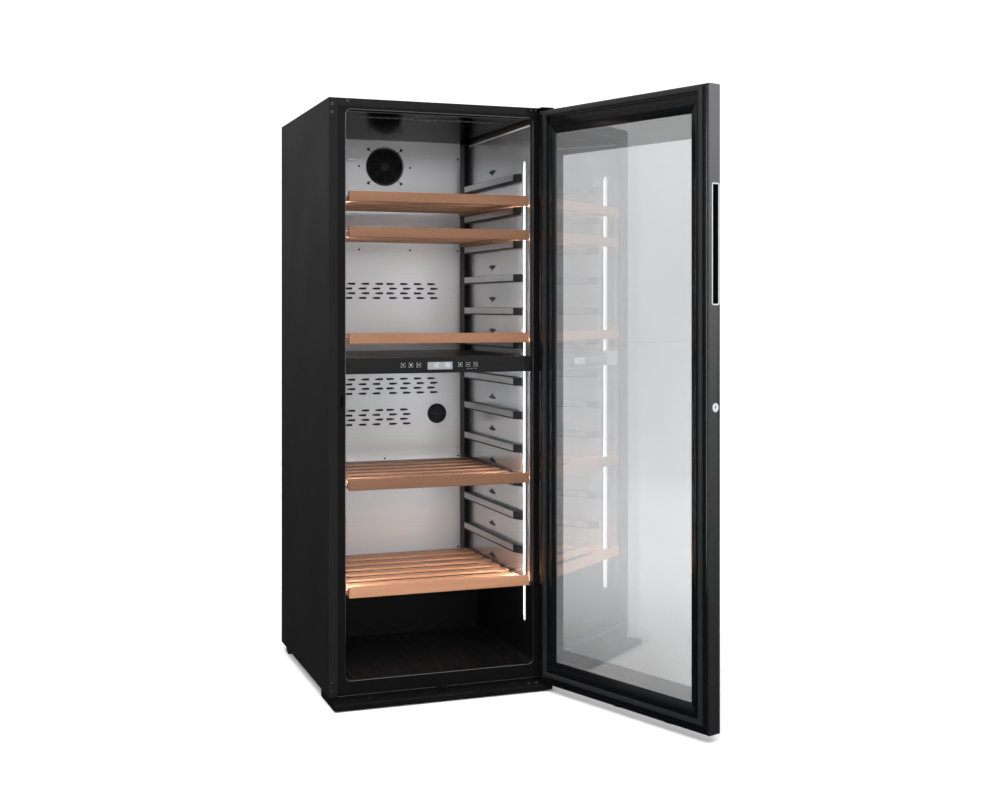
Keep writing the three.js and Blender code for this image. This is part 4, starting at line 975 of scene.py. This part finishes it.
# ---------- feet and castors ----------
PAD = [(0, 0), (15.6, 0), (17, 0.9), (17, 2.6), (16, 3.6), (13.5, 4.1), (5, 4.1)]
THREAD = [(5.0 if n % 2 else 4.4, 4.3 + 0.75 * n) for n in range(23)]
STUD_TOP = [(4.6, 21.6), (4.0, 22.2), (2.2, 22.2), (2.0, 20.8), (0, 20.8)]
for word in ("left", "right"):
    x, y, _ = centre(*mm_box(f"levelling_foot_{word}"))
    foot = Builder()
    foot.lathe(PAD + THREAD + STUD_TOP, (x, y, 0), sides=40)
    foot.done(f"levelling_foot_pad_{word}", f"levelling_foot_{word}", "rubber", rubber,
              replaces=[f"levelling_foot_{word}"])
    lo, hi = mm_box(f"castor_wheel_{word}")
    half, r = (hi[0] - lo[0]) / 2, (hi[2] - lo[2]) / 2
    # (radius, distance in from the wheel's side)
    cheek = [(3, 1.2), (6, 1.2), (7.2, 2.2), (8.6, 0.4), (r - 1.6, 0), (r - 0.3, 1.4), (r, 3)]
    tread = [(a, -half + b) for a, b in cheek] + [(a, half - b) for a, b in reversed(cheek)]
    wheel = Builder()
    wheel.lathe(tread + tread[:1], centre(lo, hi), axis="x", sides=48)
    wheel.done(f"castor_tread_{word}", f"castor_wheel_{word}", "rubber", rubber, replaces=[f"castor_wheel_{word}"])

# ---------- back ----------
# The condenser's tube goes to and fro in level runs joined by half circles.
coil_lo, coil_hi = mm_box("condenser_coil")
TUBE = 3.0  # radius
RUNS = 14
coil_y = centre(coil_lo, coil_hi)[1]
rise = (coil_hi[2] - coil_lo[2] - 2 * TUBE) / (RUNS - 1)
half_run = coil_hi[0] - TUBE - rise / 2
path = []
for n in range(RUNS):
    way = 1 if n % 2 == 0 else -1
    z = coil_lo[2] + TUBE + n * rise
    path.append((-way * half_run, coil_y, z))
    if n < RUNS - 1:
        path += [(way * (half_run + rise / 2 * math.sin(t)), coil_y, z + rise / 2 * (1 - math.cos(t)))
                 for t in (math.pi * i / 14 for i in range(14))]
    else:
        path.append((way * half_run, coil_y, z))
tube = Builder()
tube.tube(path, TUBE - 0.05, 12)
tube.done("condenser_tube", "cabinet", "satin_black_paint", paint, replaces=["condenser_coil"])

WIRES = {"count": 34, "pitch": 15, "bottom": 352, "top": 1576}
wires = Builder()
y_back = coil_hi[1] + 0.5
for n in range(WIRES["count"]):
    x = (n - (WIRES["count"] - 1) / 2) * WIRES["pitch"]
    wires.tube([(x, y_back, WIRES["bottom"]), (x, y_back, WIRES["top"])], 0.7, 6)
wires.done("condenser_wires", "cabinet", "satin_black_paint", paint)

cover_lo, cover_hi = mm_box("machine_cover")
places = [(x, cover_hi[1] - 0.1, z) for x in (-312, 0, 312) for z in (cover_lo[2] + 8, cover_hi[2] - 8)]
screws("machine_cover_screws", "chrome", zinc, pan_head(3.6, 1.6), places, sides=18)
panel_hi = mm_box("rear_panel")[1]
places = [(side * (panel_hi[0] - 9), panel_hi[1] - 0.1, 300 + n * 235) for side in (-1, 1) for n in range(7)]
screws("rear_panel_screws", "chrome", zinc, pan_head(3.4, 1.6), places, sides=18)
ix, _, iz = centre(*mm_box("power_inlet"))
pins = Builder()
for dx, dz in ((-9, -2), (0, 3), (9, -2)):
    pins.box(ix + dx - 1.2, ix + dx + 1.2, 688, 700, iz + dz - 2.6, iz + dz + 2.6, bevel=0.5)
pins.done("inlet_pins", "cabinet", "chrome", chrome)

# ---------- floor, sky and lamps ----------
floor_data = bpy.data.meshes.new("floor")
floor_mesh = bmesh.new()
bmesh.ops.create_circle(floor_mesh, cap_ends=True, segments=96, radius=40)
floor_mesh.to_mesh(floor_data)
floor_mesh.free()
floor = bpy.data.objects.new("floor", floor_data)
bpy.context.scene.collection.objects.link(floor)
floor_data.materials.append(moulded("pale studio floor", (0.93, 0.93, 0.93), rough=(0.8, 0.9), grain=60, depth=0.0,
                                    variation=0.005))
floor.visible_glossy = False

# World: dark below, bright above and brighter from one side. The camera, also through the panes, sees white paper.
world = bpy.data.worlds.new("studio")
bpy.context.scene.world = world
world.use_nodes = True
tree = world.node_tree
tree.nodes.clear()


def world_node(kind, inputs=(), **settings):
    """A node of the world. An input is a number, a colour or another node's output."""
    node = tree.nodes.new(kind)
    for name, value in settings.items():
        setattr(node, name, value)
    for socket, value in inputs:
        if isinstance(value, bpy.types.NodeSocket):
            tree.links.new(value, node.inputs[socket])
        else:
            node.inputs[socket].default_value = value
    return node.outputs


sky = world_node("ShaderNodeTexCoord")["Generated"]
up = world_node("ShaderNodeSeparateXYZ", [(0, sky)])["Z"]
height = world_node("ShaderNodeMapRange", [("Value", up), ("From Min", -0.3), ("From Max", 0.5)])["Result"]
shades = world_node("ShaderNodeValToRGB", [("Fac", height)])["Color"]
stops = shades.node.color_ramp.elements
stops[0].position, stops[0].color = 0.0, (0.005, 0.005, 0.005, 1)
stops[1].position, stops[1].color = 1.0, (1.0, 1.0, 1.0, 1)
for at, grey in ((0.2, 0.06), (0.375, 0.28), (0.56, 0.85)):
    stops.new(at).color = (grey, grey, grey * 1.01, 1)
aim = world_node("ShaderNodeVectorMath", [(0, sky), (1, (0.6, -0.8, 0.0))], operation="DOT_PRODUCT")["Value"]
FACING = [("From Min", -0.8), ("From Max", 0.6), ("To Min", 0.36), ("To Max", 1.0)]
facing = world_node("ShaderNodeMapRange", [("Value", aim), *FACING], interpolation_type="SMOOTHSTEP")["Result"]
studio = world_node("ShaderNodeBackground", [("Color", shades), ("Strength", facing)])[0]
paper = world_node("ShaderNodeBackground", [("Color", (1.0, 1.0, 1.0, 1)), ("Strength", 1.22)])[0]
rays = world_node("ShaderNodeLightPath")
seen = world_node("ShaderNodeMath", [(0, rays["Is Camera Ray"]), (1, rays["Is Transmission Ray"])],
                  operation="MAXIMUM")[0]
choose = world_node("ShaderNodeMixShader", [(0, seen), (1, studio), (2, paper)])[0]
world_node("ShaderNodeOutputWorld", [("Surface", choose)])
bpy.context.scene.view_settings.view_transform = "Standard"


def softbox(name, place, target, size, power, glossy=True):
    """A rectangular lamp aimed at a point. The camera never sees it, directly or through the panes."""
    data = bpy.data.lights.new(name, "AREA")
    data.shape = "RECTANGLE"
    data.size, data.size_y = size
    data.energy = power
    lamp = bpy.data.objects.new(name, data)
    lamp.location = place
    lamp.rotation_euler = (Vector(target) - Vector(place)).to_track_quat("-Z", "Y").to_euler()
    lamp.visible_camera = False
    lamp.visible_transmission = False
    lamp.visible_glossy = glossy
    bpy.context.scene.collection.objects.link(lamp)


sun_data = bpy.data.lights.new("even light", "SUN")
sun_data.energy = 2.6
sun_data.angle = math.radians(40)
sun = bpy.data.objects.new("even light", sun_data)
sun.rotation_euler = (math.radians(32), math.radians(-12), 0)
sun.visible_glossy = False
bpy.context.scene.collection.objects.link(sun)
softbox("side key", (-4.2, 0.2, 2.4), (-0.3, 0.2, 1.2), (2.4, 2.4), 90, glossy=False)
softbox("left strip", (-2.5, -1.0, 1.0), (0.43, -0.4, 0.9), (0.25, 2.2), 8)
softbox("front fill", (-1.6, -4.2, 1.8), (0, 0.2, 0.9), (2.4, 2.6), 25, glossy=False)
for side in (-1, 1):
    softbox(f"cabinet light {side}", (side * 0.284, 0.0585, 0.9), (0, 0.45, 0.9), (0.012, 1.38), 8.0, glossy=False)
